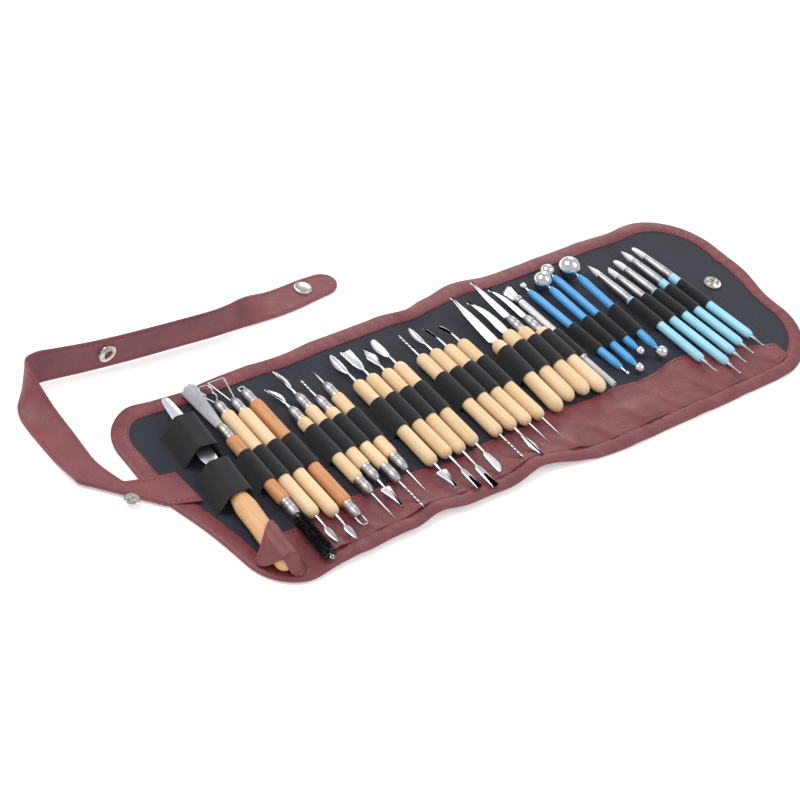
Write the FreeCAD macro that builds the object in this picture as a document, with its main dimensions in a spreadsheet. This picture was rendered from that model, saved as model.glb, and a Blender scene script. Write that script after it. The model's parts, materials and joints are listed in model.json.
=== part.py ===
"""A roll-up clay modelling tool kit, laid open: a leatherette case, its strap, and thirty-one tools.

Millimetres. The origin is the centre of the case's underside, on the table. +X runs along the case,
from the strap to the clay shapers, +Y points to the edge that the tools' tops point to, and +Z is up.
Every tool is drawn along its own +Y axis, about the point where the middle of the elastic holds it,
and is then put in its loop.
"""
import FreeCAD, Part
import math
import os
import Sketcher
from FreeCAD import Rotation, Vector

doc = FreeCAD.newDocument("clay_tool_roll")

# ---------------------------------------------------------------- sizes

SIZES = {
    # the case: a cover, a lining, a binding round the edge and a pocket along the front
    "case_length": 634, "case_depth": 208, "left_taper": 24, "right_taper": 5, "front_flare": 8,
    "corner_back_left": 34, "corner_front_left": 42, "corner_back_right": 62, "corner_front_right": 74,
    "cover_thickness": 1.0, "lining_thickness": 0.8, "binding_thickness": 1.0, "binding_width": 13,
    "pocket_mouth": -53, "pocket_end_left": 22, "pocket_slope_start": 178, "pocket_slope_drop": 16,
    # the elastic, and the clearance that each tool has in its loop
    "elastic_thickness": 0.8, "elastic_width": 33, "elastic_base": 0.6, "loop_clearance": 0.3,
    "loop_centre": 0.5, "tool_clearance": 0.3,
    # the wide elastics that hold the palette knife
    "wide_elastic_width": 35, "wide_elastic_span": 36, "upper_elastic_centre": 47, "lower_elastic_centre": -3,
    # the strap
    "strap_width": 30, "strap_thickness": 2.0, "strap_root": -291, "strap_root_width": 34,
    "strap_root_centre": 14, "strap_outer": -362, "fold_end": 56.5, "fold_height": 4.6,
    "strap_gap": 0.6, "corner_start": 117, "corner_place": -336, "corner_depth": 159,
    "stand_end": -170, "stand_end_depth": 144, "tip_place": -50, "tip_depth": 146,
    # press studs
    "cap_radius": 7.8, "cap_height": 2.6, "socket_radius": 8, "socket_bore": 3.4, "socket_height": 3,
    "socket_place": 66, "socket_level": 15, "stud_radius": 6, "post_radius": 1.1, "post_height": 2.4,
    "ring_place": 273.5, "ring_depth": 7,
    # tangs and their sockets
    "tang_radius": 1.2, "tang_depth": 8, "fit": 0.05,
    # wooden double-ended tools
    "wood_radius": 5.6, "wood_end_round": 1.5, "slim_radius": 5.3,
    "ferrule_radius": 4.4, "ferrule_wall": 0.4, "ferrule_lap": 6, "wire": 1.2, "blade": 0.9,
    # carving knives
    "knife_radius": 6.3, "knife_neck": 5.0, "knife_blade": 11, "ferruled_blade": 8,
    # palette knife
    "palette_radius": 8.6, "palette_blade_width": 13.5, "palette_blade": 1.0,
    # wire brush
    "knurl_radius": 3.75, "tail_radius": 2.6, "collar_radius": 4.6,
    # ball styluses
    "ball_handle_radius": 3.5, "ball_neck": 1.6,
    # clay shapers
    "shaper_radius": 4.0, "shaper_ferrule_mouth": 3.4, "shaper_ferrule_wall": 0.4, "shaper_lap": 7,
    "shaper_plug": 5, "stylus_radius": 1.9, "stylus_end": 0.8, "stylus_ball": 1.3,
}

# Each tool: where the elastic holds it, its lean in degrees, its axis above the table, its slope in
# degrees, and then along its own axis the end of the tip, the end of the upper ferrule, the two ends of
# the handle, the end of the lower ferrule and the tail.
STATIONS = ("place", "lean", "level", "slope", "tip", "collar", "head", "foot", "cuff", "tail")
TOOLS = {
    "palette_knife": (-267.5, 6.1, 11.9, 0, 94, 0, -6, -92, -92, -92),
    "cleaning_brush": (-238.5, 2.8, 10.5, 0, 96, 50, 34, -36, -52, -100),
    "ribbon_tool_round": (-225, 2.4, 8.8, 0, 94, 74, 59, -58, -58, -87),
    "ribbon_tool_square": (-211, 2.0, 8.8, 0, 95, 71, 55, -64, -64, -91),
    "mini_loop_tool": (-197, 1.6, 8.8, 0, 80, 75, 59, -58, -74, -83),
    "sickle_needle_tool": (-174, 0.6, 8.5, 0, 70, 43, 27, -42, -59, -91),
    "leaf_knife_tool": (-160.5, 1.0, 8.5, 0, 83, 53, 35, -34, -50, -79),
    "twist_drill_ferruled": (-147, 0.4, 8.5, 0, 65, 44, 26, -40, -59, -89),
    "needle_tool_ferruled": (-133, 1.5, 8.5, 0, 69, 53, 37, -34, -52, -80),
    "leaf_spatula_tool": (-108.5, 1.7, 8.8, 0, 78, 43, 43, -57, -57, -84),
    "square_scraper_tool": (-93.5, 0.7, 8.8, 0, 76, 44, 44, -56, -56, -92),
    "diamond_tool": (-79, 1.9, 8.8, 0, 71, 43, 43, -57, -57, -97),
    "cupped_scraper_tool": (-64.5, 1.1, 8.8, 0, 77, 45, 45, -55, -55, -89),
    "twist_drill_tool": (-40.5, 0.4, 8.8, 0, 72, 44, 44, -56, -56, -85),
    "spoon_spear_tool": (-25.5, -0.4, 8.8, 0, 75, 44, 44, -56, -56, -90),
    "dental_pick_tool": (-11, -0.8, 8.8, 0, 70, 43, 43, -57, -57, -82),
    "hook_needle_tool": (3.5, -0.6, 8.8, 0, 67, 43, 43, -57, -57, -83),
    "straight_carving_knife": (27.5, 3.2, 9.5, 0, 88, 28, 28, -58, -58, -58),
    "curved_carving_knife": (44.5, 3.0, 9.5, 0, 77, 34, 34, -53, -53, -53),
    "ferruled_straight_knife": (60, 1.0, 9.5, 0, 96, 47, 29, -53, -53, -53),
    "ferruled_curved_knife": (74.5, 0.2, 9.5, 0, 82, 41, 22, -57, -57, -57),
    "wire_texture_brush": (87.5, -1.4, 7.8, 0, 77, 64, 60, -20, -20, -55),
    "ball_stylus_smallest": (108, -3.2, 6.7, 0, 75, 68, 66, -40, -42, -49),
    "ball_stylus_large": (123, -1.9, 8.3, 1.8, 70, 60, 58, -42, -44, -49),
    "ball_stylus_medium": (138.5, -2.4, 7.8, 1.05, 79, 71, 68, -29, -30, -34),
    "ball_stylus_largest": (155, -0.8, 9.6, 1.95, 72, 60, 58, -35, -37, -44),
    "shaper_cone": (180.5, -2.6, 7.2, 0, 71, 56, 19, -67, -67, -83),
    "shaper_chisel": (195.5, -4.2, 7.2, 0, 62, 47, 13, -80, -80, -95),
    "shaper_cup_round": (210.5, -4.7, 7.2, 0, 66, 52, 18, -73, -73, -87),
    "shaper_taper": (226, -4.6, 7.2, 0, 73, 58, 24, -68, -68, -82),
    "shaper_flat": (241, -5.8, 7.2, 0, 72, 57, 26, -65, -65, -79),
}
BALLS = {"ball_stylus_smallest": (3.3, 1.75), "ball_stylus_large": (8.2, 4.4),
         "ball_stylus_medium": (6.3, 4.2), "ball_stylus_largest": (9.8, 5.75)}
for tool, stations in TOOLS.items():
    SIZES.update({f"{tool}_{station}": value for station, value in zip(STATIONS, stations)})
for tool, (upper, lower) in BALLS.items():
    SIZES.update({f"{tool}_upper_ball": upper, f"{tool}_lower_ball": lower})

sheet = doc.addObject("Spreadsheet::Sheet", "Sizes")
for row, (alias, value) in enumerate(SIZES.items(), start=1):
    sheet.set(f"A{row}", alias)
    sheet.set(f"B{row}", str(value))
    sheet.setAlias(f"B{row}", alias)
doc.recompute()


class Term:
    """A size: its value now, and the expression that binds it to the sheet."""

    def __init__(self, value, text):
        self.value = value
        self.text = text

    def joined(self, other, sign, value):
        return Term(value, f"({self.text} {sign} {term(other).text})")

    def __add__(self, other):
        return self.joined(other, "+", self.value + term(other).value)

    def __sub__(self, other):
        return self.joined(other, "-", self.value - term(other).value)

    def __mul__(self, other):
        return self.joined(other, "*", self.value * term(other).value)

    def __truediv__(self, other):
        return self.joined(other, "/", self.value / term(other).value)

    def __neg__(self):
        return Term(0, "0") - self


def term(size):
    """A plain number as a term."""
    return size if isinstance(size, Term) else Term(size, str(size))


def size(alias):
    """The size of that name in the sheet."""
    return Term(sheet.get(alias), f"Sizes.{alias}")


def span(tool, station):
    """One of a tool's stations."""
    return size(f"{tool}_{station}")


# ---------------------------------------------------------------- ways of making a piece

ON_AXIS = term(0)
V_AXIS = -2  # the number that a sketch knows its vertical axis by


def polygon(body, name, *outlines):
    """Closed outlines on the body's XY plane, each corner's place bound to the sheet."""
    sketch = body.newObject("Sketcher::SketchObject", name)
    plane = next(feature for feature in body.Origin.OriginFeatures if feature.Role == "XY_Plane")
    sketch.AttachmentSupport = [(plane, "")]
    sketch.MapMode = "FlatFace"
    for points in outlines:
        corners = [(term(x), term(y)) for x, y in points]
        ends = [Vector(x.value, y.value, 0) for x, y in corners]
        first = sketch.GeometryCount
        for number, start in enumerate(ends):
            sketch.addGeometry(Part.LineSegment(start, ends[(number + 1) % len(ends)]))
        for number in range(len(ends)):
            following = first + (number + 1) % len(ends)
            sketch.addConstraint(Sketcher.Constraint("Coincident", first + number, 2, following, 1))
        for number, (x, y) in enumerate(corners, start=first):
            if x.value == 0:
                sketch.addConstraint(Sketcher.Constraint("PointOnObject", number, 1, V_AXIS))
            else:
                bind(sketch, "DistanceX", number, x)
            bind(sketch, "DistanceY", number, y)
    return sketch


def bind(sketch, kind, number, place):
    """Ties the start of one line of a sketch to a distance from the sketch's origin."""
    index = sketch.addConstraint(Sketcher.Constraint(kind, -1, 1, number, 1, place.value))
    sketch.setExpression(f"Constraints[{index}]", place.text)


def turn(body, points):
    """Turns a half outline, given as radius and station, about the body's Y axis."""
    sketch = polygon(body, f"{body.Name}_profile", points)
    turned = body.newObject("PartDesign::Revolution", f"{body.Name}_turned")
    turned.Profile = sketch
    turned.ReferenceAxis = (sketch, ["V_Axis"])
    turned.Angle = 360
    return body


def flat(body, thickness, *outlines):
    """Pads an outline, with any holes in it, to both sides of the body's XY plane."""
    sketch = polygon(body, f"{body.Name}_outline", *outlines)
    pad = body.newObject("PartDesign::Pad", f"{body.Name}_pad")
    pad.Profile = sketch
    pad.Midplane = True
    pad.setExpression("Length", term(thickness).text)
    return body


def piece(name):
    """A new body."""
    return doc.addObject("PartDesign::Body", name)


def at(item, place=0, turned_over=False):
    """Moves a piece along its tool's axis, turned to point at the tail when turned_over."""
    if turned_over:
        item.Placement = FreeCAD.Placement(Vector(), Rotation(Vector(0, 0, 1), 180))
    item.setExpression("Placement.Base.y", term(place).text)
    return item


def rod(name, radius, start, end, place=0, turned_over=False):
    """A plain round bar along Y."""
    radius, start, end = term(radius), term(start), term(end)
    body = turn(piece(name), [(ON_AXIS, start), (radius, start), (radius, end), (ON_AXIS, end)])
    return at(body, place, turned_over)


def set_in_loop(item, tool):
    """Puts a finished tool, or one piece of it, in the tool's loop."""
    lean, slope = span(tool, "lean").value, span(tool, "slope").value
    turned = Rotation(Vector(0, 0, 1), -lean) * Rotation(Vector(1, 0, 0), slope)
    item.Placement = FreeCAD.Placement(Vector(), turned)
    item.setExpression("Placement.Base.x", span(tool, "place").text)
    item.setExpression("Placement.Base.y", "Sizes.loop_centre")
    item.setExpression("Placement.Base.z", span(tool, "level").text)
    return item


def assembled(tool, pieces):
    """One tool's pieces as a group of separate solids in one node."""
    group = doc.addObject("Part::Compound", tool)
    group.Links = pieces
    return set_in_loop(group, tool)


class End:
    """One end of a double-ended tool: the handle's end, the ferrule's end and the tip's end."""

    def __init__(self, tool, lower=False):
        names = ("foot", "cuff", "tail") if lower else ("head", "collar", "tip")
        self.name = f"{tool}_{'lower' if lower else 'upper'}"
        self.lower = lower
        self.head, self.collar, self.tip = (span(tool, name) * (-1 if lower else 1) for name in names)
        self.ferruled = self.collar.value > self.head.value
        self.lap = size("ferrule_lap") if self.ferruled else term(0)
        self.length = self.tip - self.collar
        self.socket = self.head + self.lap - size("tang_depth")

    def up(self, share):
        """A station on the tip, as a share of its length."""
        return self.collar + self.length * share

    def placed(self, body):
        """A piece drawn for the upper end, turned to point at the tail if this is the lower end."""
        return at(body, 0, self.lower)


def handle(tool, radius, upper, lower, neck=None, ends=None):
    """A turned handle: a tenon for each ferrule, and a socket in each end for a tang."""
    neck = neck or size("ferrule_radius") - size("ferrule_wall") - size("fit")
    ends = ends or size("wood_end_round")
    bore = size("tang_radius") + size("fit")
    head, foot = upper.head, -lower.head
    outline = [(bore, foot - lower.lap), (neck, foot - lower.lap)] if lower.ferruled else [(bore, foot)]
    outline += [(neck, foot)] if lower.ferruled else []
    outline += [(radius - ends, foot), (radius, foot + ends), (radius, head - ends), (radius - ends, head)]
    outline += [(neck, head), (neck, head + upper.lap)] if upper.ferruled else []
    outline += [
        (bore, head + upper.lap), (bore, upper.socket), (ON_AXIS, upper.socket),
        (ON_AXIS, -lower.socket), (bore, -lower.socket),
    ]
    return turn(piece(f"{tool}_handle"), outline)


def ferrule(end, mouth=None):
    """A drawn metal tube over the handle's tenon, closed in round the tang at its mouth."""
    outer, wall = size("ferrule_radius"), size("ferrule_wall")
    mouth = mouth or size("tang_radius") + size("fit")
    lip = end.collar - wall * 2
    outline = [
        (outer - wall, end.head), (outer, end.head), (outer, lip), (outer - wall, end.collar),
        (mouth, end.collar), (mouth, lip), (outer - wall, lip),
    ]
    return end.placed(turn(piece(f"{end.name}_ferrule"), outline))


def tip(end, stem, outlines=(), thickness=None):
    """A tip forged from one rod: its tang in the handle's socket, a turned stem, and a flat blade."""
    tang = size("tang_radius")
    body = turn(piece(f"{end.name}_tip"), [
        (ON_AXIS, end.socket), (tang, end.socket), (tang, end.collar),
        *((radius, end.up(share)) for radius, share in stem),
    ])
    if outlines:
        flat(body, thickness or size("blade"), *outlines)
    return end.placed(body)


NEEDLE = ((0.9, 0.08), (0.7, 0.5), (0, 1))
ROD = ((1.2, 0.94), (0, 1))
SHORT_STEM = ((1.1, 0.1), (0.7, 0.35), (0, 0.45))
LONG_STEM = ((1.1, 0.08), (0.7, 0.55), (0, 0.62))

# Half outlines of the blades: shares of the blade's width and of the tip's length.
BLADES = {
    "leaf": ((0.08, 0.3), (0.4, 0.48), (0.5, 0.66), (0.36, 0.86), (0, 1)),
    "spear": ((0.08, 0.4), (0.5, 0.62), (0.3, 0.85), (0, 1)),
    "triangle": ((0.12, 0.3), (0.5, 0.34), (0, 1)),
    "square": ((0.1, 0.25), (0.42, 0.45), (0.5, 1)),
    "diamond": ((0.08, 0.25), (0.5, 0.6), (0.44, 0.68), (0, 1)),
    "gouge": ((0.1, 0.4), (0.5, 0.55), (0.5, 1), (0.3, 1), (0.2, 0.7)),
    "round": ((0.1, 0.3), (0.36, 0.42), (0.5, 0.62), (0.5, 0.78), (0.25, 1)),
}
# Whole outlines of the blades that curve to one side.
CURVED_BLADES = {
    "sickle": ((0.1, 0.25), (0.3, 0.4), (0.2, 0.65), (-0.7, 1), (-0.35, 0.62), (-0.15, 0.4), (-0.1, 0.25)),
    "knife": ((0.14, 0.25), (0.5, 0.4), (0.55, 0.62), (0.2, 0.88), (-0.3, 1), (-0.1, 0.6), (-0.14, 0.25)),
    "pick": ((0.12, 0.4), (0.12, 0.6), (-0.3, 0.85), (-1, 1), (-0.45, 0.78), (-0.12, 0.55), (-0.12, 0.4)),
    "hook": ((0.12, 0.4), (0.14, 0.6), (-0.4, 0.88), (-1.5, 1), (-0.6, 0.8), (-0.12, 0.56), (-0.12, 0.4)),
    "skew": ((0.1, 0.3), (0.5, 0.45), (0.5, 1), (-0.5, 0.8), (-0.5, 0.45), (-0.1, 0.3)),
}
# Half outlines of the wire loops' outer edges.
LOOPS = {
    "shouldered": ((0.18, 0), (0.45, 0.35), (0.34, 0.5), (0.5, 0.72), (0.3, 1)),
    "square": ((0.16, 0), (0.5, 0.94), (0.44, 1)),
    "mini": ((0.5, 0), (0.5, 0.6), (0.26, 1)),
}


def blade(end, form, width, thickness=None, stem=SHORT_STEM):
    """A forged tip with one of the blade forms."""
    if form in CURVED_BLADES:
        outline = [(term(width) * x, end.up(y)) for x, y in CURVED_BLADES[form]]
    else:
        half = BLADES[form]
        mirrored = [(-x, y) for x, y in reversed(half) if x]
        outline = [(term(width) * x, end.up(y)) for x, y in (*half, *mirrored)]
    return tip(end, stem, [outline], thickness)


def loop(end, form, width):
    """A bent wire loop, flat on its tool's plane."""
    wire, half, reach = size("wire"), term(width) / 2, LOOPS[form]
    outer = [(half * (2 * x), end.up(y)) for x, y in reach]
    inner = [(half * (2 * x) - wire, end.up(y) - (wire if y == 1 else 0)) for x, y in reach[1:]]
    foot = (half * (2 * reach[0][0]) - wire, end.up(reach[0][1]) + wire)
    inner.insert(0, foot)
    mirror = [[(-x, y) for x, y in reversed(side)] for side in (outer, inner)]
    body = piece(f"{end.name}_tip")
    tang = size("tang_radius")
    turn(body, [(ON_AXIS, end.socket), (tang, end.socket), (tang, end.collar + wire), (ON_AXIS, end.collar + wire)])
    flat(body, wire, [*outer, *mirror[0]], [*inner, *mirror[1]])
    return end.placed(body)


def wooden_tool(tool, radius, upper_tip, lower_tip):
    """A double-ended tool: a turned handle, its ferrules, and a tip at each end."""
    upper, lower = End(tool), End(tool, lower=True)
    pieces = [handle(tool, radius, upper, lower)]
    pieces += [ferrule(end) for end in (upper, lower) if end.ferruled]
    pieces += [make(end) for make, end in ((upper_tip, upper), (lower_tip, lower))]
    return assembled(tool, pieces)


def finish(form, width, **details):
    """How one end of a wooden tool is made, for wooden_tool."""
    return lambda end: blade(end, form, width, **details)


def pointed(end):
    """A needle."""
    return tip(end, NEEDLE)


def drill(end):
    """A twist drill, as the rod it is ground from."""
    return tip(end, ROD)


def wired(form, width):
    """How a wire-loop end is made, for wooden_tool."""
    return lambda end: loop(end, form, width)


# ---------------------------------------------------------------- wooden tools

wood, slim = size("wood_radius"), size("slim_radius")
wooden_tool("ribbon_tool_round", wood, wired("shouldered", 11), finish("spear", 6.5, stem=LONG_STEM))
wooden_tool("ribbon_tool_square", wood, wired("square", 15), finish("spear", 6.5, stem=LONG_STEM))
wooden_tool("mini_loop_tool", wood, wired("mini", 6.4), wired("mini", 7))
wooden_tool("sickle_needle_tool", slim, finish("sickle", 9), pointed)
wooden_tool("leaf_knife_tool", slim, finish("knife", 6), finish("triangle", 9.6))
wooden_tool("twist_drill_ferruled", slim, drill, drill)
wooden_tool("needle_tool_ferruled", slim, pointed, pointed)
wooden_tool("leaf_spatula_tool", wood, finish("leaf", 8), finish("triangle", 10.5))
wooden_tool("square_scraper_tool", wood, finish("square", 10), finish("gouge", 5, stem=LONG_STEM))
wooden_tool("diamond_tool", wood, finish("diamond", 9.5), finish("gouge", 6, stem=LONG_STEM))
wooden_tool("cupped_scraper_tool", wood, finish("round", 8.5), finish("skew", 6))
wooden_tool("twist_drill_tool", wood, drill, drill)
wooden_tool("spoon_spear_tool", wood, finish("leaf", 6), finish("diamond", 7, stem=LONG_STEM))
wooden_tool("dental_pick_tool", wood, finish("pick", 3.6, stem=LONG_STEM), pointed)
wooden_tool("hook_needle_tool", wood, finish("hook", 4, stem=LONG_STEM), pointed)


def brush_head(end):
    """The white bristle head, and the twisted wire that holds it."""
    tang, gap = size("tang_radius"), size("fit")
    return end.placed(turn(piece(f"{end.name}_bristles"), [
        (tang + gap, end.up(0.02)), (6.9, end.up(0.05)), (7.1, end.up(0.25)), (3.8, end.up(1)), (tang + gap, end.up(1)),
    ]))


def bottle_brush(end):
    """The black spiral bristles on their twisted wire."""
    tang, gap = size("tang_radius"), size("fit")
    return end.placed(turn(piece(f"{end.name}_bristles"), [
        (tang + gap, end.up(0.08)), (6.2, end.up(0.12)), (6.2, end.up(0.88)), (tang + gap, end.up(0.9)),
    ]))


def cleaning_brush():
    """The double-ended brush."""
    upper, lower = End("cleaning_brush"), End("cleaning_brush", lower=True)
    rods = [tip(end, ((1.2, share), (0, share))) for end, share in ((upper, 0.98), (lower, 1))]
    pieces = [handle("cleaning_brush", slim, upper, lower), ferrule(upper), ferrule(lower), *rods]
    assembled("cleaning_brush", [*pieces, brush_head(upper), bottle_brush(lower)])


cleaning_brush()

# ---------------------------------------------------------------- carving knives


def carving_knife(tool, form, ferruled):
    """A single-ended carving knife with a rounded wooden handle."""
    upper, lower = End(tool), End(tool, lower=True)
    radius, neck = size("knife_radius"), size("knife_neck")
    width = size("ferruled_blade" if ferruled else "knife_blade")
    head, foot, bore = upper.head, -lower.head, size("tang_radius") + size("fit")
    tenon = size("ferrule_radius") - size("ferrule_wall") - size("fit")
    outline = [
        (ON_AXIS, foot), (radius * 0.5, foot + radius * 0.13), (radius * 0.87, foot + radius * 0.5),
        (radius, foot + radius), (radius, head - radius * 4), (neck, head),
        *([(tenon, head), (tenon, head + upper.lap)] if ferruled else []),
        (bore, head + upper.lap), (bore, upper.socket), (ON_AXIS, upper.socket),
    ]
    pieces = [turn(piece(f"{tool}_handle"), outline)]
    pieces += [ferrule(upper)] if ferruled else []
    assembled(tool, [*pieces, blade(upper, form, width, size("blade") * 1.4)])


BLADES["carving"] = ((0.36, 0), (0.5, 0.12), (0.36, 0.6), (0.06, 1), (0, 1))
CURVED_BLADES["bent"] = (
    (0.34, 0), (0.36, 0.35), (0.12, 0.7), (-0.6, 1), (-0.62, 0.97), (-0.4, 0.55), (-0.34, 0),
)
carving_knife("straight_carving_knife", "carving", ferruled=False)
carving_knife("curved_carving_knife", "bent", ferruled=False)
carving_knife("ferruled_straight_knife", "carving", ferruled=True)
carving_knife("ferruled_curved_knife", "bent", ferruled=True)

# ---------------------------------------------------------------- wire brush, ball styluses, palette knife


def wire_brush():
    """The texture brush: fanned wires in a collar, a knurled handle and a clear tube over its tail."""
    tool = "wire_texture_brush"
    head, foot, tail = span(tool, "head"), span(tool, "foot"), span(tool, "tail")
    collar, end, knurl, fit = span(tool, "collar"), span(tool, "tip"), size("knurl_radius"), size("fit")
    neck, ring, tube = size("ferrule_radius") * 0.6, size("collar_radius"), size("tail_radius")
    grip = turn(piece(f"{tool}_grip"), [
        (ON_AXIS, foot - size("tang_depth")), (tube - 0.8 - 0.05, foot - size("tang_depth")),
        (tube - 0.8 - 0.05, foot), (knurl, foot), (knurl, head), (neck, head), (neck, head + 2), (ON_AXIS, head + 2),
    ])
    sleeve = turn(piece(f"{tool}_collar"), [
        (neck + fit, head), (ring, head), (ring - 0.4, collar), (neck + fit, collar),
    ])
    wires = turn(piece(f"{tool}_wires"), [
        (ON_AXIS, head + 2.1), (neck, head + 2.1), (neck, collar), (4.6, end), (ON_AXIS, end),
    ])
    tail_tube = turn(piece(f"{tool}_tail_tube"), [
        (tube - 0.8, tail), (tube, tail), (tube, foot), (tube - 0.8, foot),
    ])
    assembled(tool, [grip, sleeve, wires, tail_tube])


wire_brush()


def ball_stylus(tool):
    """A blue plastic handle with a polished steel ball on a neck at each end."""
    radius, neck = size("ball_handle_radius"), size("ball_neck")
    pieces = []
    ends = [End(tool), End(tool, lower=True)]
    bore = size("tang_radius") + size("fit")
    upper, lower = ends
    pieces.append(turn(piece(f"{tool}_handle"), [
        (bore, -lower.collar), (neck + 0.8, -lower.collar), (radius, -lower.head), (radius, upper.head),
        (neck + 0.8, upper.collar), (bore, upper.collar), (bore, upper.socket), (ON_AXIS, upper.socket),
        (ON_AXIS, -lower.socket), (bore, -lower.socket),
    ]))
    for end, which in ((upper, "upper_ball"), (lower, "lower_ball")):
        ball = doc.addObject("Part::Sphere", f"{end.name}_sphere")
        ball.setExpression("Radius", span(tool, which).text)
        ball.setExpression("Placement.Base.y", end.tip.text)
        stem = rod(f"{end.name}_neck", size("tang_radius"), end.socket, end.tip)
        head = doc.addObject("Part::MultiFuse", f"{end.name}_ball")
        head.Shapes = [ball, stem]
        pieces.append(end.placed(head))
    assembled(tool, pieces)


for name in BALLS:
    ball_stylus(name)


def palette_knife():
    """The large palette knife: a flexible steel blade, a ferrule and a beech handle."""
    tool, radius, width = "palette_knife", size("palette_radius"), size("palette_blade_width")
    upper, lower = End(tool), End(tool, lower=True)
    head, foot, bore = upper.head, -lower.head, size("tang_radius") + size("fit")
    wood_body = turn(piece(f"{tool}_handle"), [
        (ON_AXIS, foot), (radius * 0.6, foot), (radius, foot + radius * 0.6), (radius, head - radius * 2),
        (radius * 0.6, head), (bore, head), (bore, upper.socket), (ON_AXIS, upper.socket),
    ])
    steel = tip(upper, ((1.2, 0.02), (0, 0.06)), [[
        (width * 0.2, upper.collar - 1), (width * 0.5, upper.collar + 8), (width * 0.5, upper.tip - width * 0.45),
        (width * 0.26, upper.tip), (width * -0.26, upper.tip), (width * -0.5, upper.tip - width * 0.45),
        (width * -0.5, upper.collar + 8), (width * -0.2, upper.collar - 1),
    ]], size("palette_blade"))
    assembled(tool, [wood_body, steel])


palette_knife()

# ---------------------------------------------------------------- clay shapers

SHAPER_TIPS = {
    "shaper_cone": ((1, 0), (0.98, 0.25), (0.1, 1)),
    "shaper_chisel": ((1, 0), (1, 0.3), (0.72, 0.72), (0.15, 1)),
    "shaper_cup_round": ((1, 0), (1.02, 0.35), (0.8, 0.78), (0.3, 1)),
    "shaper_taper": ((1, 0), (0.95, 0.4), (0.5, 0.85), (0.12, 1)),
    "shaper_flat": ((1, 0), (1, 0.35), (0.85, 0.75), (0.55, 1)),
}


def clay_shaper(tool, profile):
    """A clay shaper in four nodes: silicone tip, tapered ferrule, handle and ball-ended steel stylus."""
    upper, lower = End(tool), End(tool, lower=True)
    radius, mouth, wall = size("shaper_radius"), size("shaper_ferrule_mouth"), size("shaper_ferrule_wall")
    fit, lap, plug = size("fit"), size("shaper_lap"), size("shaper_plug")
    stylus, depth = size("stylus_radius"), size("tang_depth")
    tenon = radius - wall - fit
    head, foot, inner = upper.head, -lower.head, mouth - wall
    wand = turn(piece(f"{tool}_wand"), [
        (ON_AXIS, foot + depth), (stylus * 0.6 + fit, foot + depth), (stylus * 0.6 + fit, foot),
        (radius * 0.72, foot), (radius, foot + radius * 1.6), (radius, head), (tenon, head),
        (tenon, head + lap), (ON_AXIS, head + lap),
    ])
    ferrule_body = turn(piece(f"{tool}_sleeve"), [
        (radius - wall, head), (radius, head), (radius, head + lap), (mouth, upper.collar),
        (inner, upper.collar), (inner, upper.collar - plug), (radius - wall, head + lap + wall),
    ])
    soft = turn(piece(f"{tool}_silicone"), [
        (ON_AXIS, upper.collar - plug + fit), (inner - fit, upper.collar - plug + fit), (inner - fit, upper.collar),
        *((inner * across, upper.up(along)) for across, along in profile), (ON_AXIS, upper.tip),
    ])
    ball, end = size("stylus_ball"), lower.tip
    steel = lower.placed(turn(piece(f"{tool}_steel"), [
        (ON_AXIS, lower.head - depth + fit), (stylus * 0.6, lower.head - depth + fit), (stylus * 0.6, lower.head),
        (stylus, lower.head), (size("stylus_end"), end - ball * 1.8), (ball, end - ball * 1.3),
        (ball, end - ball * 0.6), (ball * 0.5, end), (ON_AXIS, end),
    ]))
    for suffix, body in (("tip", soft), ("ferrule", ferrule_body), ("handle", wand), ("stylus", steel)):
        group = doc.addObject("Part::Compound", f"{tool}_{suffix}")
        group.Links = [body]
        set_in_loop(group, tool)
        NODES.append(group)


NODES = [item for item in doc.Objects if item.TypeId == "Part::Compound"]
for name, profile in SHAPER_TIPS.items():
    clay_shaper(name, profile)

# ---------------------------------------------------------------- the case


def rounded_sheet(name, inset, level, thickness):
    """A flat sheet of the case's outline, taken in all round by inset."""
    half, deep, inset = size("case_length") / 2, size("case_depth") / 2, term(inset)
    left, right, flare = size("left_taper"), size("right_taper"), size("front_flare")
    corners = {
        "back_left": (-half + inset, deep - inset), "front_left": (-half + left + inset, -deep + inset),
        "front_right": (half - right - inset, -deep - flare + inset), "back_right": (half - inset, deep - inset),
    }
    body = piece(name)
    sketch = polygon(body, f"{name}_outline", list(corners.values()))
    pad = body.newObject("PartDesign::Pad", f"{name}_pad")
    pad.Profile = sketch
    pad.setExpression("Length", term(thickness).text)
    doc.recompute()
    for corner, (x, y) in corners.items():
        rounding = body.newObject("PartDesign::Fillet", f"{name}_{corner}")
        rounding.Base = (body.Tip if body.Tip != rounding else pad, [upright_edge(pad, x.value, y.value)])
        rounding.setExpression("Radius", (size(f"corner_{corner}") - inset).text)
        doc.recompute()
        pad = rounding
    body.setExpression("Placement.Base.z", term(level).text)
    return body


def upright_edge(feature, x, y):
    """The name of a solid's upright edge over a point."""
    for number, edge in enumerate(feature.Shape.Edges, start=1):
        if all(math.hypot(vertex.X - x, vertex.Y - y) < 0.01 for vertex in edge.Vertexes):
            return f"Edge{number}"
    raise ValueError(f"no upright edge at {x}, {y}")


def sewn(kind, name, base, tool):
    """One sheet cut by, joined to or kept within another, as a node of its own."""
    result = doc.addObject(kind, name)
    if kind == "Part::MultiFuse":
        result.Shapes = [base, tool]
    else:
        result.Base, result.Tool = base, tool
    return result


def node(item):
    """Marks a finished piece as one of the model's nodes."""
    NODES.append(item)
    return item


edge = size("binding_thickness") + 0.1
sheet_top = size("cover_thickness") + size("lining_thickness")
case_top = sheet_top + size("binding_thickness")

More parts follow.
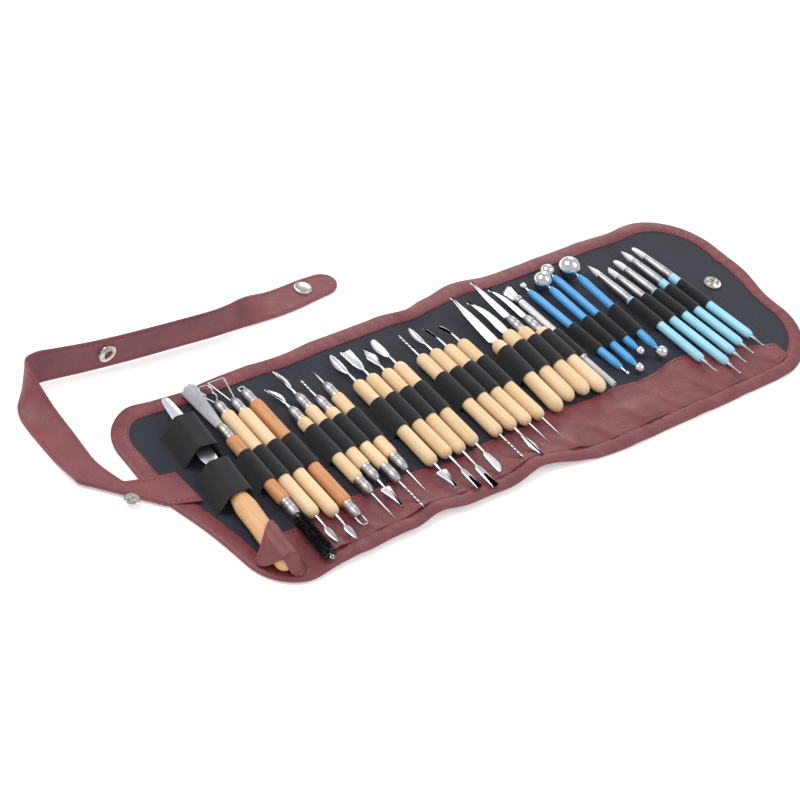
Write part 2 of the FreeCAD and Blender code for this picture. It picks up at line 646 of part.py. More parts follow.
node(rounded_sheet("outer_cover", edge, 0, size("cover_thickness")))
node(rounded_sheet("lining", edge, size("cover_thickness"), size("lining_thickness")))
wrapped = sewn(
    "Part::Cut", "binding_wrap", rounded_sheet("binding_blank", 0, 0, case_top),
    rounded_sheet("binding_inside", edge, 0, sheet_top),
)
node(sewn("Part::Cut", "edge_binding", wrapped, rounded_sheet("binding_window", size("binding_width"), 0, case_top)))


def pocket_band():
    """The leatherette band along the front, whose left end stands up over the palette knife's handle."""
    half, deep = size("case_length") / 2, size("case_depth") / 2
    mouth, drop = size("pocket_mouth"), size("pocket_slope_drop")
    band = piece("pocket_band")
    sketch = polygon(band, "pocket_band_outline", [
        (-half, -deep - 20), (half, -deep - 20), (half, mouth - drop * 2), (half - 60, mouth - drop),
        (size("pocket_slope_start"), mouth), (-half + size("pocket_end_left"), mouth), (-half, mouth - 24),
    ])
    pad = band.newObject("PartDesign::Pad", "pocket_band_pad")
    pad.Profile = sketch
    pad.setExpression("Length", size("binding_thickness").text)
    band.setExpression("Placement.Base.z", sheet_top.text)
    inside = rounded_sheet("pocket_inside", size("binding_width") + 0.1, sheet_top, size("binding_thickness"))
    return sewn("Part::Common", "pocket_sheet", inside, band)


def number(alias):
    """A size as a plain number, for the shapes that Part's own functions make."""
    return size(alias).value


def tunnel(radius, legs, start, end, floor, axis_level):
    """A straight-sided arch over an axis along Y: the space under it down to the floor."""
    half = Part.makeCylinder(radius, end - start, Vector(0, start, 0), Vector(0, 1, 0))
    box = Part.makeBox(2 * legs, end - start, axis_level - floor, Vector(-legs, start, floor - axis_level))
    return half.fuse(box)


def placed_for(tool, shape):
    """A shape drawn about a tool's axis, moved to where the tool lies."""
    turned = Rotation(Vector(0, 0, 1), -number(f"{tool}_lean"))
    place = Vector(number(f"{tool}_place"), number("loop_centre"), number(f"{tool}_level"))
    shape.Placement = FreeCAD.Placement(place, turned)
    return shape


def tool_radius(tool):
    """The radius of the handle that the elastic goes over."""
    for names, alias in (
        (("sickle", "leaf_knife", "twist_drill_ferruled", "needle_tool", "cleaning"), "slim_radius"),
        (("straight_carving", "curved_carving", "ferruled_"), "knife_radius"),
        (("wire_",), "knurl_radius"), (("ball_",), "ball_handle_radius"), (("shaper_",), "shaper_radius"),
    ):
        if tool.startswith(names):
            return number(alias)
    return number("wood_radius")


def tool_elastic():
    """The ribbed elastic, sewn down between the tools, in one arch over each."""
    thick, half, gap = number("elastic_thickness"), number("elastic_width") / 2, number("loop_clearance")
    floor, centre = sheet_top.value, number("loop_centre")
    looped = [tool for tool in TOOLS if tool != "palette_knife"]
    ends = [number(f"{looped[0]}_place") - 9, number(f"{looped[-1]}_place") + 8]
    band = Part.makeBox(
        ends[1] - ends[0], 2 * half, number("elastic_base"), Vector(ends[0], centre - half, floor)
    )
    spaces = []
    for tool in looped:
        radius, level = tool_radius(tool) + gap, number(f"{tool}_level")
        slope = math.radians(number(f"{tool}_slope"))
        arch = tunnel(radius + thick, radius + thick, -half, half, floor, level)
        space = tunnel(radius, radius, -half - 5, half + 5, floor + number("elastic_base"), level)
        rise = half * math.tan(slope)
        if rise:
            space = space.fuse(tunnel(radius, radius, 0, half + 5, floor + 1, level).translated(Vector(0, 0, rise)))
            arch = arch.fuse(tunnel(radius + thick, radius + thick, 0, half, floor, level).translated(
                Vector(0, 0, rise)))
        band = band.fuse(placed_for(tool, arch))
        spaces.append(placed_for(tool, space))
    shelf = Part.makeBox(ends[1] - ends[0], 4 * half, floor, Vector(ends[0], centre - 2 * half, 0))
    return band.cut(spaces).cut(shelf).removeSplitter()


def wide_elastic(centre):
    """One of the two wide elastics over the palette knife, a flat-topped tent sewn down at both sides."""
    thick, width, half = number("elastic_thickness"), number("wide_elastic_width"), number("wide_elastic_span") / 2
    inner, floor = number("palette_radius") + number("loop_clearance"), sheet_top.value
    level = number("palette_knife_level")
    top = level + inner
    outer = [(-half, 0), (-half, thick), (-inner - 1, top - 4), (-inner + 2, top + thick), (inner - 2, top + thick),
             (inner + 1, top - 4), (half - 4, thick), (half - 4, 0)]
    space = [(-half + 2.5, -1), (-half + 2.5, thick * 0.4), (-inner, top - 4), (-inner + 2.4, top), (inner - 2.4, top),
             (inner, top - 4), (half - 6.5, thick * 0.4), (half - 6.5, -1)]
    solids = []
    for section, extra in ((outer, 0), (space, 1)):
        corners = [Vector(x, -width / 2 - extra, z - (level if z > thick else level - floor)) for x, z in section]
        face = Part.Face(Part.Wire(Part.makePolygon(corners + corners[:1])))
        solids.append(face.extrude(Vector(0, width + 2 * extra, 0)))
    arch = solids[0].cut(solids[1])
    base = Part.makeBox(2 * half - 4, width, 0.4, Vector(-half, -width / 2, floor - level))
    arch = arch.fuse(base).removeSplitter()
    lean = Rotation(Vector(0, 0, 1), -number("palette_knife_lean"))
    along = lean.multVec(Vector(0, centre, 0))
    arch.Placement = FreeCAD.Placement(
        Vector(number("palette_knife_place"), number("loop_centre"), level) + along, lean)
    return arch


def made(name, shape):
    """A node whose shape comes from Part's own functions."""
    feature = doc.addObject("Part::Feature", name)
    feature.Shape = shape
    return node(feature)


made("tool_elastic", tool_elastic())
made("knife_elastic_upper", wide_elastic(number("upper_elastic_centre")))
made("knife_elastic_lower", wide_elastic(number("lower_elastic_centre")))


def pocket():
    """The front pocket with the raised mouth that holds the end of the palette knife's handle."""
    doc.recompute()
    gap, skin = number("loop_clearance"), number("binding_thickness")
    radius, level, floor = number("palette_radius") + gap, number("palette_knife_level"), sheet_top.value
    foot = number("palette_knife_foot")
    shell = tunnel(radius + skin, radius + skin, foot - 1.3, -58, floor, level)
    space = tunnel(radius, radius, foot - gap, -50, floor - 1, level)
    sheet_ = pocket_band()
    doc.recompute()
    raised = sheet_.Shape.fuse(placed_for("palette_knife", shell)).cut(placed_for("palette_knife", space))
    return raised.cut(doc.getObject("edge_binding").Shape)


made("tip_pocket", pocket().removeSplitter())

# ---------------------------------------------------------------- the strap


def station(x, y, heading, roll, level=0.0, width=None):
    """A cross-section of the strap: its lower edge on the table, rolled from flat to upright."""
    wide, thick = width or number("strap_width"), number("strap_thickness")
    along = Vector(math.cos(heading), math.sin(heading), 0)
    side = Vector(-along.y, along.x, 0)
    up = Vector(0, 0, 1)
    across = side * math.cos(roll) + up * math.sin(roll)
    through = side * -math.sin(roll) + up * math.cos(roll)
    corner = Vector(x, y, level) + side * (thick * math.sin(roll))
    points = [corner, corner + across * wide, corner + across * wide + through * thick, corner + through * thick]
    return Part.makePolygon(points + points[:1])


def strap_root():
    """The strap's sewn end on the case and its fold at the left edge."""
    thick, outer, height = number("strap_thickness"), number("strap_outer"), number("fold_height")
    root, half, centre = number("strap_root"), number("strap_root_width") / 2, number("strap_root_centre")
    lip, end = case_top.value, number("fold_end")
    inner, edge_x = outer + number("strap_width"), -number("case_length") / 2 - 1
    on_case = [(root, centre - half), (root, centre + half), (edge_x, centre + half + 5), (edge_x, centre - half + 6)]
    beyond = [
        (edge_x, centre - half + 6), (edge_x, centre + half + 5), (inner, centre + half + 8), (inner, end),
        (outer, end), (outer + 26, centre + 12), (edge_x - 6, centre - half + 8),
    ]
    plates = []
    for outline, low, high in ((on_case, lip, lip + thick), (beyond, 0, height)):
        corners = [Vector(x, y, low) for x, y in outline]
        plates.append(Part.Face(Part.makePolygon(corners + corners[:1])).extrude(Vector(0, 0, high - low)))
    return plates[0].fuse(plates[1]).removeSplitter()


def strap_run():
    """The run beside the case: flat on the table, then rising to stand on edge at the corner."""
    outer, wide = number("strap_outer"), number("strap_width")
    start, turn_from = number("fold_end") + number("strap_gap"), number("corner_start")
    corner_x, corner_y = number("corner_place") - number("strap_gap"), number("corner_depth")
    inner = outer + wide
    north = math.pi / 2
    sections = [
        station(inner, start, north, 0), station(inner, turn_from, north, 0),
        station(inner - 3.5, turn_from + 22, north * 0.86, math.radians(-38), 11),
        station(corner_x, corner_y, math.radians(-5), math.radians(90)),
    ]
    return Part.makeLoft(sections[:2], True, True).fuse(bend(sections[1], sections[3], 6))


def bend(first, last, steps):
    """The strap's rise from flat to upright, as short ruled spans between two sections."""
    low = [vertex.Point for vertex in first.OrderedVertexes]
    high = [vertex.Point for vertex in last.OrderedVertexes]
    return Part.makeLoft([Part.makePolygon(low + low[:1]), Part.makePolygon(high + high[:1])], True, True)


def strap_end():
    """The run behind the case: upright, then laid over flat, with a rounded end."""
    thick, wide = number("strap_thickness"), number("strap_width")
    x, y = number("corner_place"), number("corner_depth")
    stand_x, stand_y = number("stand_end"), number("stand_end_depth")
    heading = math.atan2(stand_y - y, stand_x - x)
    tip_x, tip_y = number("tip_place"), number("tip_depth")
    quarter = math.pi / 2
    sections = [
        station(x, y, heading, quarter), station(stand_x, stand_y, heading, quarter),
        station(stand_x + 32, stand_y - 2, heading / 2, quarter * 0.55),
        station(stand_x + 62, stand_y - 3, 0, 0), station(tip_x, tip_y, math.radians(5), 0),
    ]
    ribbon = Part.makeLoft(sections, True, True)
    rounding = Part.makeCylinder(wide / 2, thick, Vector(tip_x - 1.3, tip_y + wide / 2, 0))
    return ribbon.fuse(rounding).removeSplitter()


made("strap_root", strap_root())
made("strap_run", strap_run())
made("strap_end", strap_end())

# ---------------------------------------------------------------- press studs


def stud_part(name, outline, place, axis, level=0.0):
    """A turned press-stud part, standing on a face."""
    body = turn(piece(f"{name}_turned"), outline)
    upright = Rotation(Vector(0, 1, 0), Vector(*axis))
    body.Placement = FreeCAD.Placement(Vector(*place, level), upright)
    return body


def press_studs():
    """The cap and socket on the strap, the post under its fold, and the ring on the lining."""
    up = (0, 0, 1)
    cap, high = size("cap_radius"), size("cap_height")
    strap_top = number("strap_thickness")
    cap_place = (number("tip_place") - 20, number("tip_depth") + number("strap_width") / 2 - 2)
    cap_body = stud_part("strap_cap", [
        (ON_AXIS, 0), (cap, 0), (cap, high * 0.3), (cap * 0.8, high * 0.75), (cap * 0.4, high), (ON_AXIS, high),
    ], cap_place, up, strap_top)
    outer, bore, tall = size("socket_radius"), size("socket_bore"), size("socket_height")
    ring = [
        (ON_AXIS, 0), (outer, 0), (outer, tall * 0.4), (outer * 0.8, tall), (bore, tall), (bore, tall * 0.3),
        (ON_AXIS, tall * 0.3),
    ]
    x, y = number("corner_place"), number("corner_depth")
    heading = math.atan2(number("stand_end_depth") - y, number("stand_end") - x)
    along = number("socket_place")
    place = (x + along * math.cos(heading), y + along * math.sin(heading))
    away = (math.sin(heading), -math.cos(heading), 0)
    socket = stud_part("strap_socket", ring, place, away, number("socket_level"))
    on_lining = stud_part(
        "lining_stud", ring, (number("ring_place"), number("ring_depth")), up, sheet_top.value
    )
    post, slim_post, post_high = size("stud_radius"), size("post_radius"), size("post_height")
    fold = stud_part("fold_stud", [
        (ON_AXIS, 0), (post, 0), (post, 0.8), (slim_post, 0.8), (slim_post, post_high), (ON_AXIS, post_high),
    ], (number("strap_outer") + 27, number("strap_root_centre") + 8), up, number("fold_height"))
    for name, body in (
        ("strap_cap", cap_body), ("strap_socket", socket), ("lining_stud", on_lining), ("fold_stud", fold),
    ):
        group = doc.addObject("Part::Compound", name)
        group.Links = [body]
        node(group)


press_studs()

# ---------------------------------------------------------------- check and write

doc.recompute()
broken = [item.Name for item in doc.Objects if "Invalid" in item.State or "Error" in item.State]
broken += [item.Name for item in NODES if item.Shape.isNull() or not item.Shape.isValid()]
if broken:
    raise RuntimeError(f"these failed: {broken}")
os.makedirs("parts", exist_ok=True)
for item in NODES:
    item.Label = item.Name
    item.Shape.exportStep(f"parts/{item.Label}.step")
    print(item.Label, len(item.Shape.Solids), round(item.Shape.Volume, 1))
print(len(NODES), "nodes")
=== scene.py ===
"""The looks of a roll-up clay tool kit: a leatherette case laid open, its strap and its thirty-one tools.

Lengths are millimetres in the classes below and metres in the meshes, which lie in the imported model's frame.
+X runs along the case, +Y points where the tools' tops point, and +Z is up.
"""
import bisect
import json
import logging
import math
import random
from collections.abc import Callable, Sequence
from dataclasses import dataclass
from enum import Enum

import bmesh
import bpy
from mathutils import Matrix, Vector


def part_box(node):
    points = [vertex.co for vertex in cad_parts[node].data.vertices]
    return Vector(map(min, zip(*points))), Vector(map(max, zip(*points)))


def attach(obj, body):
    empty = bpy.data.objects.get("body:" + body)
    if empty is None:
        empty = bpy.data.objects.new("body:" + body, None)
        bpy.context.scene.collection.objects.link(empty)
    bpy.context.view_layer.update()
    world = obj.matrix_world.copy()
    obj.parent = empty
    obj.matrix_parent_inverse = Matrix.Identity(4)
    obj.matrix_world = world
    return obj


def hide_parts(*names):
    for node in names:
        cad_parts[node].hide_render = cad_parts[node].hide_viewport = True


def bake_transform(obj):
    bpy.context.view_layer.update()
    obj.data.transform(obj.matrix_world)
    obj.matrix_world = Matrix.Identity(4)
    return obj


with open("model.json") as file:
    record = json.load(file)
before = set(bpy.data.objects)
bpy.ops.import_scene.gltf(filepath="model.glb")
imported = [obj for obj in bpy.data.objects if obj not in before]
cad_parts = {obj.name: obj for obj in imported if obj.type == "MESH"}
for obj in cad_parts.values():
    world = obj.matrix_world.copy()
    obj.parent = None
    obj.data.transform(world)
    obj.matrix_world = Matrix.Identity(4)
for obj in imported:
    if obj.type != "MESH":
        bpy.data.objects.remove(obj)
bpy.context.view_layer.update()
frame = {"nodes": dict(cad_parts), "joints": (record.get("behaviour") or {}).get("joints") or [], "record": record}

LOG = logging.getLogger("tool_roll")
MM = 0.001
Point = tuple[float, float, float]
Outline = list[tuple[float, float]]


# ---------------------------------------------------------------- nodes and colours


def linear(code: str) -> tuple[float, float, float, float]:
    """Turns an sRGB hex colour into the linear colour that Blender's sockets hold.

    Args:
        code: six hex digits, such as "7a3d42".

    Returns:
        Red, green, blue and an alpha of 1.
    """
    shares = [int(code[start:start + 2], 16) / 255 for start in (0, 2, 4)]
    red, green, blue = (s / 12.92 if s <= 0.04045 else ((s + 0.055) / 1.055) ** 2.4 for s in shares)
    return red, green, blue, 1.0


def add(tree: bpy.types.NodeTree, kind: str, inputs: dict | None = None,
        **settings: object) -> bpy.types.Node:
    """Adds one shader node with its settings, values and links.

    Args:
        tree: the material's node tree.
        kind: the node's type.
        inputs: socket names or numbers, each with a value or another node's output socket.
        **settings: the node's own properties.

    Returns:
        The new node.
    """
    made = tree.nodes.new(kind)
    for name, value in settings.items():
        setattr(made, name, value)
    for name, value in (inputs or {}).items():
        if isinstance(value, bpy.types.NodeSocket):
            tree.links.new(value, made.inputs[name])
        else:
            made.inputs[name].default_value = value
    return made


def blank(name: str) -> tuple[bpy.types.Material, bpy.types.NodeTree]:
    """A new material with an empty tree.

    Args:
        name: the finish's name.

    Returns:
        The material and its tree.
    """
    material = bpy.data.materials.new(name)
    material.use_nodes = True
    material.node_tree.nodes.clear()
    return material, material.node_tree


def ramp(tree: bpy.types.NodeTree, factor: bpy.types.NodeSocket, low: str, high: str,
         start: float = 0.0, end: float = 1.0) -> bpy.types.NodeSocket:
    """A colour ramp between two hex colours.

    Args:
        tree: the material's node tree.
        factor: what drives the ramp.
        low: the colour at and below start.
        high: the colour at and above end.
        start: the factor where the colour begins to change.
        end: the factor where it has changed.

    Returns:
        The ramp's colour socket.
    """
    made = add(tree, "ShaderNodeValToRGB", {"Fac": factor})
    made.color_ramp.elements[0].position, made.color_ramp.elements[1].position = start, end
    made.color_ramp.elements[0].color, made.color_ramp.elements[1].color = linear(low), linear(high)
    return made.outputs["Color"]


def finished(tree: bpy.types.NodeTree, **values: object) -> None:
    """Closes a tree with a Principled surface.

    Args:
        tree: the material's node tree.
        **values: the surface's inputs, with underscores for spaces.
    """
    inputs = {key.replace("_", " "): value for key, value in values.items()}
    surface = add(tree, "ShaderNodeBsdfPrincipled", inputs)
    add(tree, "ShaderNodeOutputMaterial", {"Surface": surface.outputs["BSDF"]})


def millimetres(tree: bpy.types.NodeTree, stretch: Point = (1, 1, 1)) -> bpy.types.NodeSocket:
    """The piece's own coordinates in millimetres, so that a pattern's scale is one over its real size.

    Args:
        tree: the material's node tree.
        stretch: how much each axis is multiplied by.

    Returns:
        A vector socket.
    """
    place = add(tree, "ShaderNodeTexCoord")
    scale = tuple(share / MM for share in stretch)
    mapped = add(tree, "ShaderNodeMapping", {"Vector": place.outputs["Object"], "Scale": scale})
    return mapped.outputs["Vector"]


def bump(tree: bpy.types.NodeTree, height: bpy.types.NodeSocket, depth: float, strength: float = 1.0,
         under: bpy.types.NodeSocket | None = None) -> bpy.types.NodeSocket:
    """A bump of a real depth.

    Args:
        tree: the material's node tree.
        height: the pattern, from 0 to 1.
        depth: how deep it is, in millimetres.
        strength: how much of it shows.
        under: a normal to build on.

    Returns:
        The normal socket.
    """
    inputs = {"Height": height, "Distance": depth * MM, "Strength": strength}
    if under is not None:
        inputs["Normal"] = under
    return add(tree, "ShaderNodeBump", inputs).outputs["Normal"]


# ---------------------------------------------------------------- finishes


@dataclass(frozen=True)
class Leatherette:
    """Polyurethane leathercloth with an embossed pebble: a soft broken sheen over a deep maroon."""

    name: str
    colour: str
    shade: str
    pebble: float = 1.25  # the emboss is about 0.8 mm, drawn a little coarser so that it shows
    crease: float = 22
    speck: float = 0.5
    roughness: float = 0.46

    def material(self) -> bpy.types.Material:
        """Makes the material.

        Returns:
            The material.
        """
        material, tree = blank(self.name)
        place = millimetres(tree)
        pebbles = add(tree, "ShaderNodeTexVoronoi",
                      {"Vector": place, "Scale": 1 / self.pebble, "Randomness": 0.9})
        creases = add(tree, "ShaderNodeTexNoise",
                      {"Vector": place, "Scale": 1 / self.crease, "Detail": 4.0, "Roughness": 0.6})
        fine = add(tree, "ShaderNodeTexNoise", {"Vector": place, "Scale": 1 / self.speck, "Detail": 2.0})
        mottle = add(tree, "ShaderNodeMix", {0: 0.45, 2: creases.outputs["Fac"], 3: fine.outputs["Fac"]})
        colour = ramp(tree, mottle.outputs[0], self.shade, self.colour, 0.3, 0.68)
        normal = bump(tree, pebbles.outputs["Distance"], 0.28, 0.55)
        normal = bump(tree, creases.outputs["Fac"], 2.4, 0.5, normal)
        finished(tree, Base_Color=colour, Roughness=self.roughness, IOR=1.5, Normal=normal)
        return material


@dataclass(frozen=True)
class Twill:
    """Polyester lining woven in a fine diagonal twill: nearly black, with a faint navy sheen on the ribs."""

    name: str
    colour: str
    shade: str
    rib: float = 2.3  # a real twill line is about 1 mm apart, drawn coarser so that it shows

    def material(self) -> bpy.types.Material:
        """Makes the material.

        Returns:
            The material.
        """
        material, tree = blank(self.name)
        place = millimetres(tree)
        ribs = add(tree, "ShaderNodeTexWave", {"Vector": place, "Scale": 0.5 / self.rib, "Distortion": 0.4},
                   bands_direction="DIAGONAL")
        broad = add(tree, "ShaderNodeTexNoise", {"Vector": place, "Scale": 1 / 40, "Detail": 3.0})
        mixed = add(tree, "ShaderNodeMix", {0: 0.35, 2: ribs.outputs["Fac"], 3: broad.outputs["Fac"]})
        colour = ramp(tree, mixed.outputs[0], self.shade, self.colour, 0.2, 0.8)
        finished(tree, Base_Color=colour, Roughness=0.82, Sheen_Weight=0.25, Sheen_Roughness=0.4,
                 Normal=bump(tree, ribs.outputs["Fac"], 0.25, 0.6))
        return material


@dataclass(frozen=True)
class Elastic:
    """Knitted elastic: black, matt, with a thread texture across its raised ribs."""

    name: str
    colour: str
    shade: str
    thread: float = 0.8
    fuzz: float = 1.1

    def material(self) -> bpy.types.Material:
        """Makes the material.

        Returns:
            The material.
        """
        material, tree = blank(self.name)
        place = millimetres(tree)
        knit = add(tree, "ShaderNodeTexWave",
                   {"Vector": place, "Scale": 0.5 / self.thread, "Distortion": 1.2, "Detail": 1.0})
        fuzz = add(tree, "ShaderNodeTexNoise", {"Vector": place, "Scale": 1 / self.fuzz, "Detail": 3.0})
        colour = ramp(tree, fuzz.outputs["Fac"], self.shade, self.colour, 0.3, 0.75)
        finished(tree, Base_Color=colour, Roughness=0.88, Sheen_Weight=0.2, Sheen_Roughness=0.5,
                 Normal=bump(tree, knit.outputs["Fac"], 0.1, 0.5))
        return material


@dataclass(frozen=True)
class SandedWood:
    """Sanded wood with no varnish: long fine grain along the handle and a few darker pores."""

    name: str
    colour: str
    shade: str
    grain: float = 1.6
    depth: float = 0.6

    def material(self) -> bpy.types.Material:
        """Makes the material.

        Returns:
            The material.
        """
        material, tree = blank(self.name)
        along = millimetres(tree, (1, 0.045, 1))
        lines = add(tree, "ShaderNodeTexNoise", {"Vector": along, "Scale": 1 / self.grain, "Detail": 5.0,
                                                 "Roughness": 0.62, "Distortion": 0.3})
        broad = add(tree, "ShaderNodeTexNoise", {"Vector": along, "Scale": 0.16 / self.grain, "Detail": 2.0})
        mixed = add(tree, "ShaderNodeMix",
                    {0: 1 - self.depth, 2: lines.outputs["Fac"], 3: broad.outputs["Fac"]})
        colour = ramp(tree, mixed.outputs[0], self.shade, self.colour, 0.34, 0.62)
        finished(tree, Base_Color=colour, Roughness=0.52, IOR=1.47,
                 Normal=bump(tree, lines.outputs["Fac"], 0.12, 0.35))
        return material


@dataclass(frozen=True)
class Metal:
    """A bare or plated metal. Grinding and drawing leave fine rings or streaks that blur its reflections."""

    name: str
    colour: str
    roughness: float
    streak: float = 0.0  # the spacing of the rings or streaks, or 0 where it is polished
    stretch: Point = (1, 1, 1)
    depth: float = 0.05
    cloud: float = 6

    def material(self) -> bpy.types.Material:
        """Makes the material.

        Returns:
            The material.
        """
        material, tree = blank(self.name)
        place = millimetres(tree, self.stretch)
        cloud = add(tree, "ShaderNodeTexNoise",
                    {"Vector": place, "Scale": 1 / (self.streak or self.cloud), "Detail": 3.0})
        rough = add(tree, "ShaderNodeMapRange",
                    {"Value": cloud.outputs["Fac"], "To Min": self.roughness * 0.75, "To Max": self.roughness * 1.3})
        values = {"Base_Color": linear(self.colour), "Metallic": 1.0, "Roughness": rough.outputs["Result"]}
        if self.streak:
            values["Normal"] = bump(tree, cloud.outputs["Fac"], self.depth, 0.5)
        finished(tree, **values)
        return material


@dataclass(frozen=True)
class Moulded:
    """Moulded plastic, silicone or nylon: one even colour with a faint flow mark and a soft gloss."""

    name: str
    colour: str
    shade: str
    roughness: float
    scatter: float = 0.0
    sheer: float = 0.0
    flow: float = 9

    def material(self) -> bpy.types.Material:
        """Makes the material.

        Returns:
            The material.
        """
        material, tree = blank(self.name)
        place = millimetres(tree, (1, 0.3, 1))
        flow = add(tree, "ShaderNodeTexNoise", {"Vector": place, "Scale": 1 / self.flow, "Detail": 2.0})
        colour = ramp(tree, flow.outputs["Fac"], self.shade, self.colour, 0.3, 0.6)
        finished(tree, Base_Color=colour, Roughness=self.roughness, IOR=1.49, Subsurface_Weight=self.scatter,
                 Subsurface_Scale=0.002, Transmission_Weight=self.sheer,
                 Normal=bump(tree, flow.outputs["Fac"], 0.04, 0.2))
        return material


class Finish(Enum):
    LEATHERETTE = Leatherette("maroon leatherette", "874449", "642e34")
    # The strap's leatherette is painted a little lighter and pinker than the case's: a painted highlight for the
    # light that falls on the strap from above.
    STRAP_BACK = Leatherette("strap leatherette with painted highlight", "8a494f", "6c353c", roughness=0.5)
    TWILL = Twill("navy twill lining", "2b2f3d", "151821")
    ELASTIC = Elastic("black knitted elastic", "1d1e22", "0d0d10")
    THREAD = Moulded("red sewing thread", "a02b33", "7c1c24", 0.6)
    BLACK_THREAD = Moulded("black sewing thread", "26262a", "161619", 0.6)
    BIRCH = SandedWood("sanded birch", "f4d9b2", "e3bd8c", 1.4, 0.5)
    BEECH = SandedWood("oiled beech", "dda271", "bb7843", 1.2, 0.6)
    BRUSH_WOOD = SandedWood("waxed maple", "e6b787", "cf9660", 1.3, 0.5)
    ALUMINIUM = Metal("drawn aluminium", "c6c3c5", 0.34, 0.5, (0.1, 1, 0.1))
    FERRULE = Metal("satin ferrule", "b7b3b6", 0.4, 0.6, (0.2, 1, 0.2))
    STEEL = Metal("ground steel", "c9c9cd", 0.3, 0.7, (0.15, 1, 0.15), 0.03)
    BLADE = Metal("satin blade steel", "d8d7de", 0.38, 0.9, (1, 0.2, 1), 0.02)
    WIRE = Metal("bright steel wire", "b9b8bc", 0.24)
    CHROME = Metal("polished chrome", "dfe0e4", 0.07)
    NICKEL = Metal("plated nickel", "cdc8c2", 0.2)
    LIGHT_BLUE = Moulded("light blue plastic", "a9e2f6", "98d8f0", 0.3, 0.06)
    MID_BLUE = Moulded("mid blue plastic", "55a9e4", "4599d8", 0.3, 0.04)
    SILICONE = Moulded("white silicone", "eceaf0", "dddbe4", 0.45, 0.2)
    CLEAR = Moulded("clear vinyl tube", "e9ecee", "dfe4e8", 0.2, 0.0, 0.35)
    WHITE_NYLON = Moulded("white nylon bristle", "d9d8db", "bfbdc2", 0.4, 0.1)
    BLACK_NYLON = Moulded("black nylon bristle", "18181a", "0c0c0e", 0.35)


_MADE: dict[Finish, bpy.types.Material] = {}


def dress(finish: Finish) -> bpy.types.Material:
    """The material of a finish, made once.

    Args:
        finish: which finish.

    Returns:
        Its material.
    """
    if finish not in _MADE:
        _MADE[finish] = finish.value.material()
    return _MADE[finish]


# ---------------------------------------------------------------- meshes

Mesh = tuple[list[Vector], list[tuple[int, ...]]]


def joined(meshes: Sequence[Mesh]) -> Mesh:
    """Several meshes as one.

    Args:
        meshes: the meshes, in order.

    Returns:
        One mesh of them all.
    """
    points: list[Vector] = []
    faces: list[tuple[int, ...]] = []
    for part_points, part_faces in meshes:
        start = len(points)
        points += part_points
        faces += [tuple(corner + start for corner in face) for face in part_faces]
    return points, faces


def moved(mesh: Mesh, matrix: Matrix) -> Mesh:
    """A mesh moved by a matrix.

    Args:
        mesh: the mesh.
        matrix: how it moves.

    Returns:
        The moved mesh, with the same faces.
    """
    return [matrix @ point for point in mesh[0]], mesh[1]


def lathe(profile: Sequence[tuple[float, float]], segments: int = 40) -> Mesh:
    """Turns a profile about the Y axis.

    Args:
        profile: (radius, station) pairs; a radius of 0 closes the end.
        segments: how many facets go round.

    Returns:
        The mesh.
    """
    points: list[Vector] = []
    rings: list[list[int]] = []
    for radius, station in profile:
        count = 1 if radius <= 1e-6 else segments
        rings.append(list(range(len(points), len(points) + count)))
        for step in range(count):
            turn = 2 * math.pi * step / segments
            points.append(Vector((radius * math.cos(turn), station, radius * math.sin(turn))))
    return points, bridged(rings)


def bridged(rings: Sequence[Sequence[int]]) -> list[tuple[int, ...]]:
    """Faces between rings of points, where a ring of one point closes the skin.

    Args:
        rings: each ring's point numbers.

    Returns:
        The faces.
    """
    faces: list[tuple[int, ...]] = []
    for near, far in zip(rings, rings[1:]):
        count = max(len(near), len(far))
        for step in range(count if count > 1 else 0):
            after = (step + 1) % count
            corners = [near[step % len(near)], near[after % len(near)],
                       far[after % len(far)], far[step % len(far)]]
            faces.append(tuple(dict.fromkeys(reversed(corners))))
    return faces


def sweep(path: Sequence[Vector], radius: float | Callable[[float], float], sides: int = 8,
          closed: bool = False) -> Mesh:
    """A round bar along a path.

    Args:
        path: the points along its middle.
        radius: its radius, or the radius at a share of the way along.
        sides: how many facets go round.
        closed: whether the path joins its own start.

    Returns:
        The mesh, capped at both ends unless closed.
    """
    points: list[Vector] = []
    rings: list[list[int]] = []
    count = len(path)
    across = Vector((0, 0, 1))
    for number, place in enumerate(path):
        before = path[number - 1] if closed or number else path[0]
        after = path[(number + 1) % count] if closed or number < count - 1 else path[-1]
        along = (after - before).normalized()
        across = (across - along * across.dot(along))
        across = across.normalized() if across.length > 1e-6 else along.orthogonal().normalized()
        third = along.cross(across)
        wide = radius(number / max(1, count - 1)) if callable(radius) else radius
        rings.append(list(range(len(points), len(points) + sides)))
        for step in range(sides):
            turn = 2 * math.pi * step / sides
            points.append(place + (across * math.cos(turn) + third * math.sin(turn)) * wide)
    faces = bridged([*rings, rings[0]] if closed else rings)
    if not closed:
        faces += [tuple(rings[0]), tuple(reversed(rings[-1]))]
    return points, faces


def smooth_path(corners: Sequence[Vector], steps: int = 6, closed: bool = False) -> list[Vector]:
    """A Catmull-Rom curve through points.

    Args:
        corners: the points.
        steps: how many pieces each span is cut into.
        closed: whether the last point joins the first.

    Returns:
        The curve's points.
    """
    count = len(corners)
    spans = count if closed else count - 1
    result: list[Vector] = []
    for span in range(spans):
        near = [corners[(span + shift) % count] if closed else corners[min(max(span + shift, 0), count - 1)]
                for shift in (-1, 0, 1, 2)]
        for step in range(steps):
            t = step / steps
            a, b, c, d = near
            result.append(0.5 * (2 * b + (c - a) * t + (2 * a - 5 * b + 4 * c - d) * t * t
                                 + (3 * b - a - 3 * c + d) * t * t * t))
    if not closed:
        result.append(corners[-1].copy())
    return result


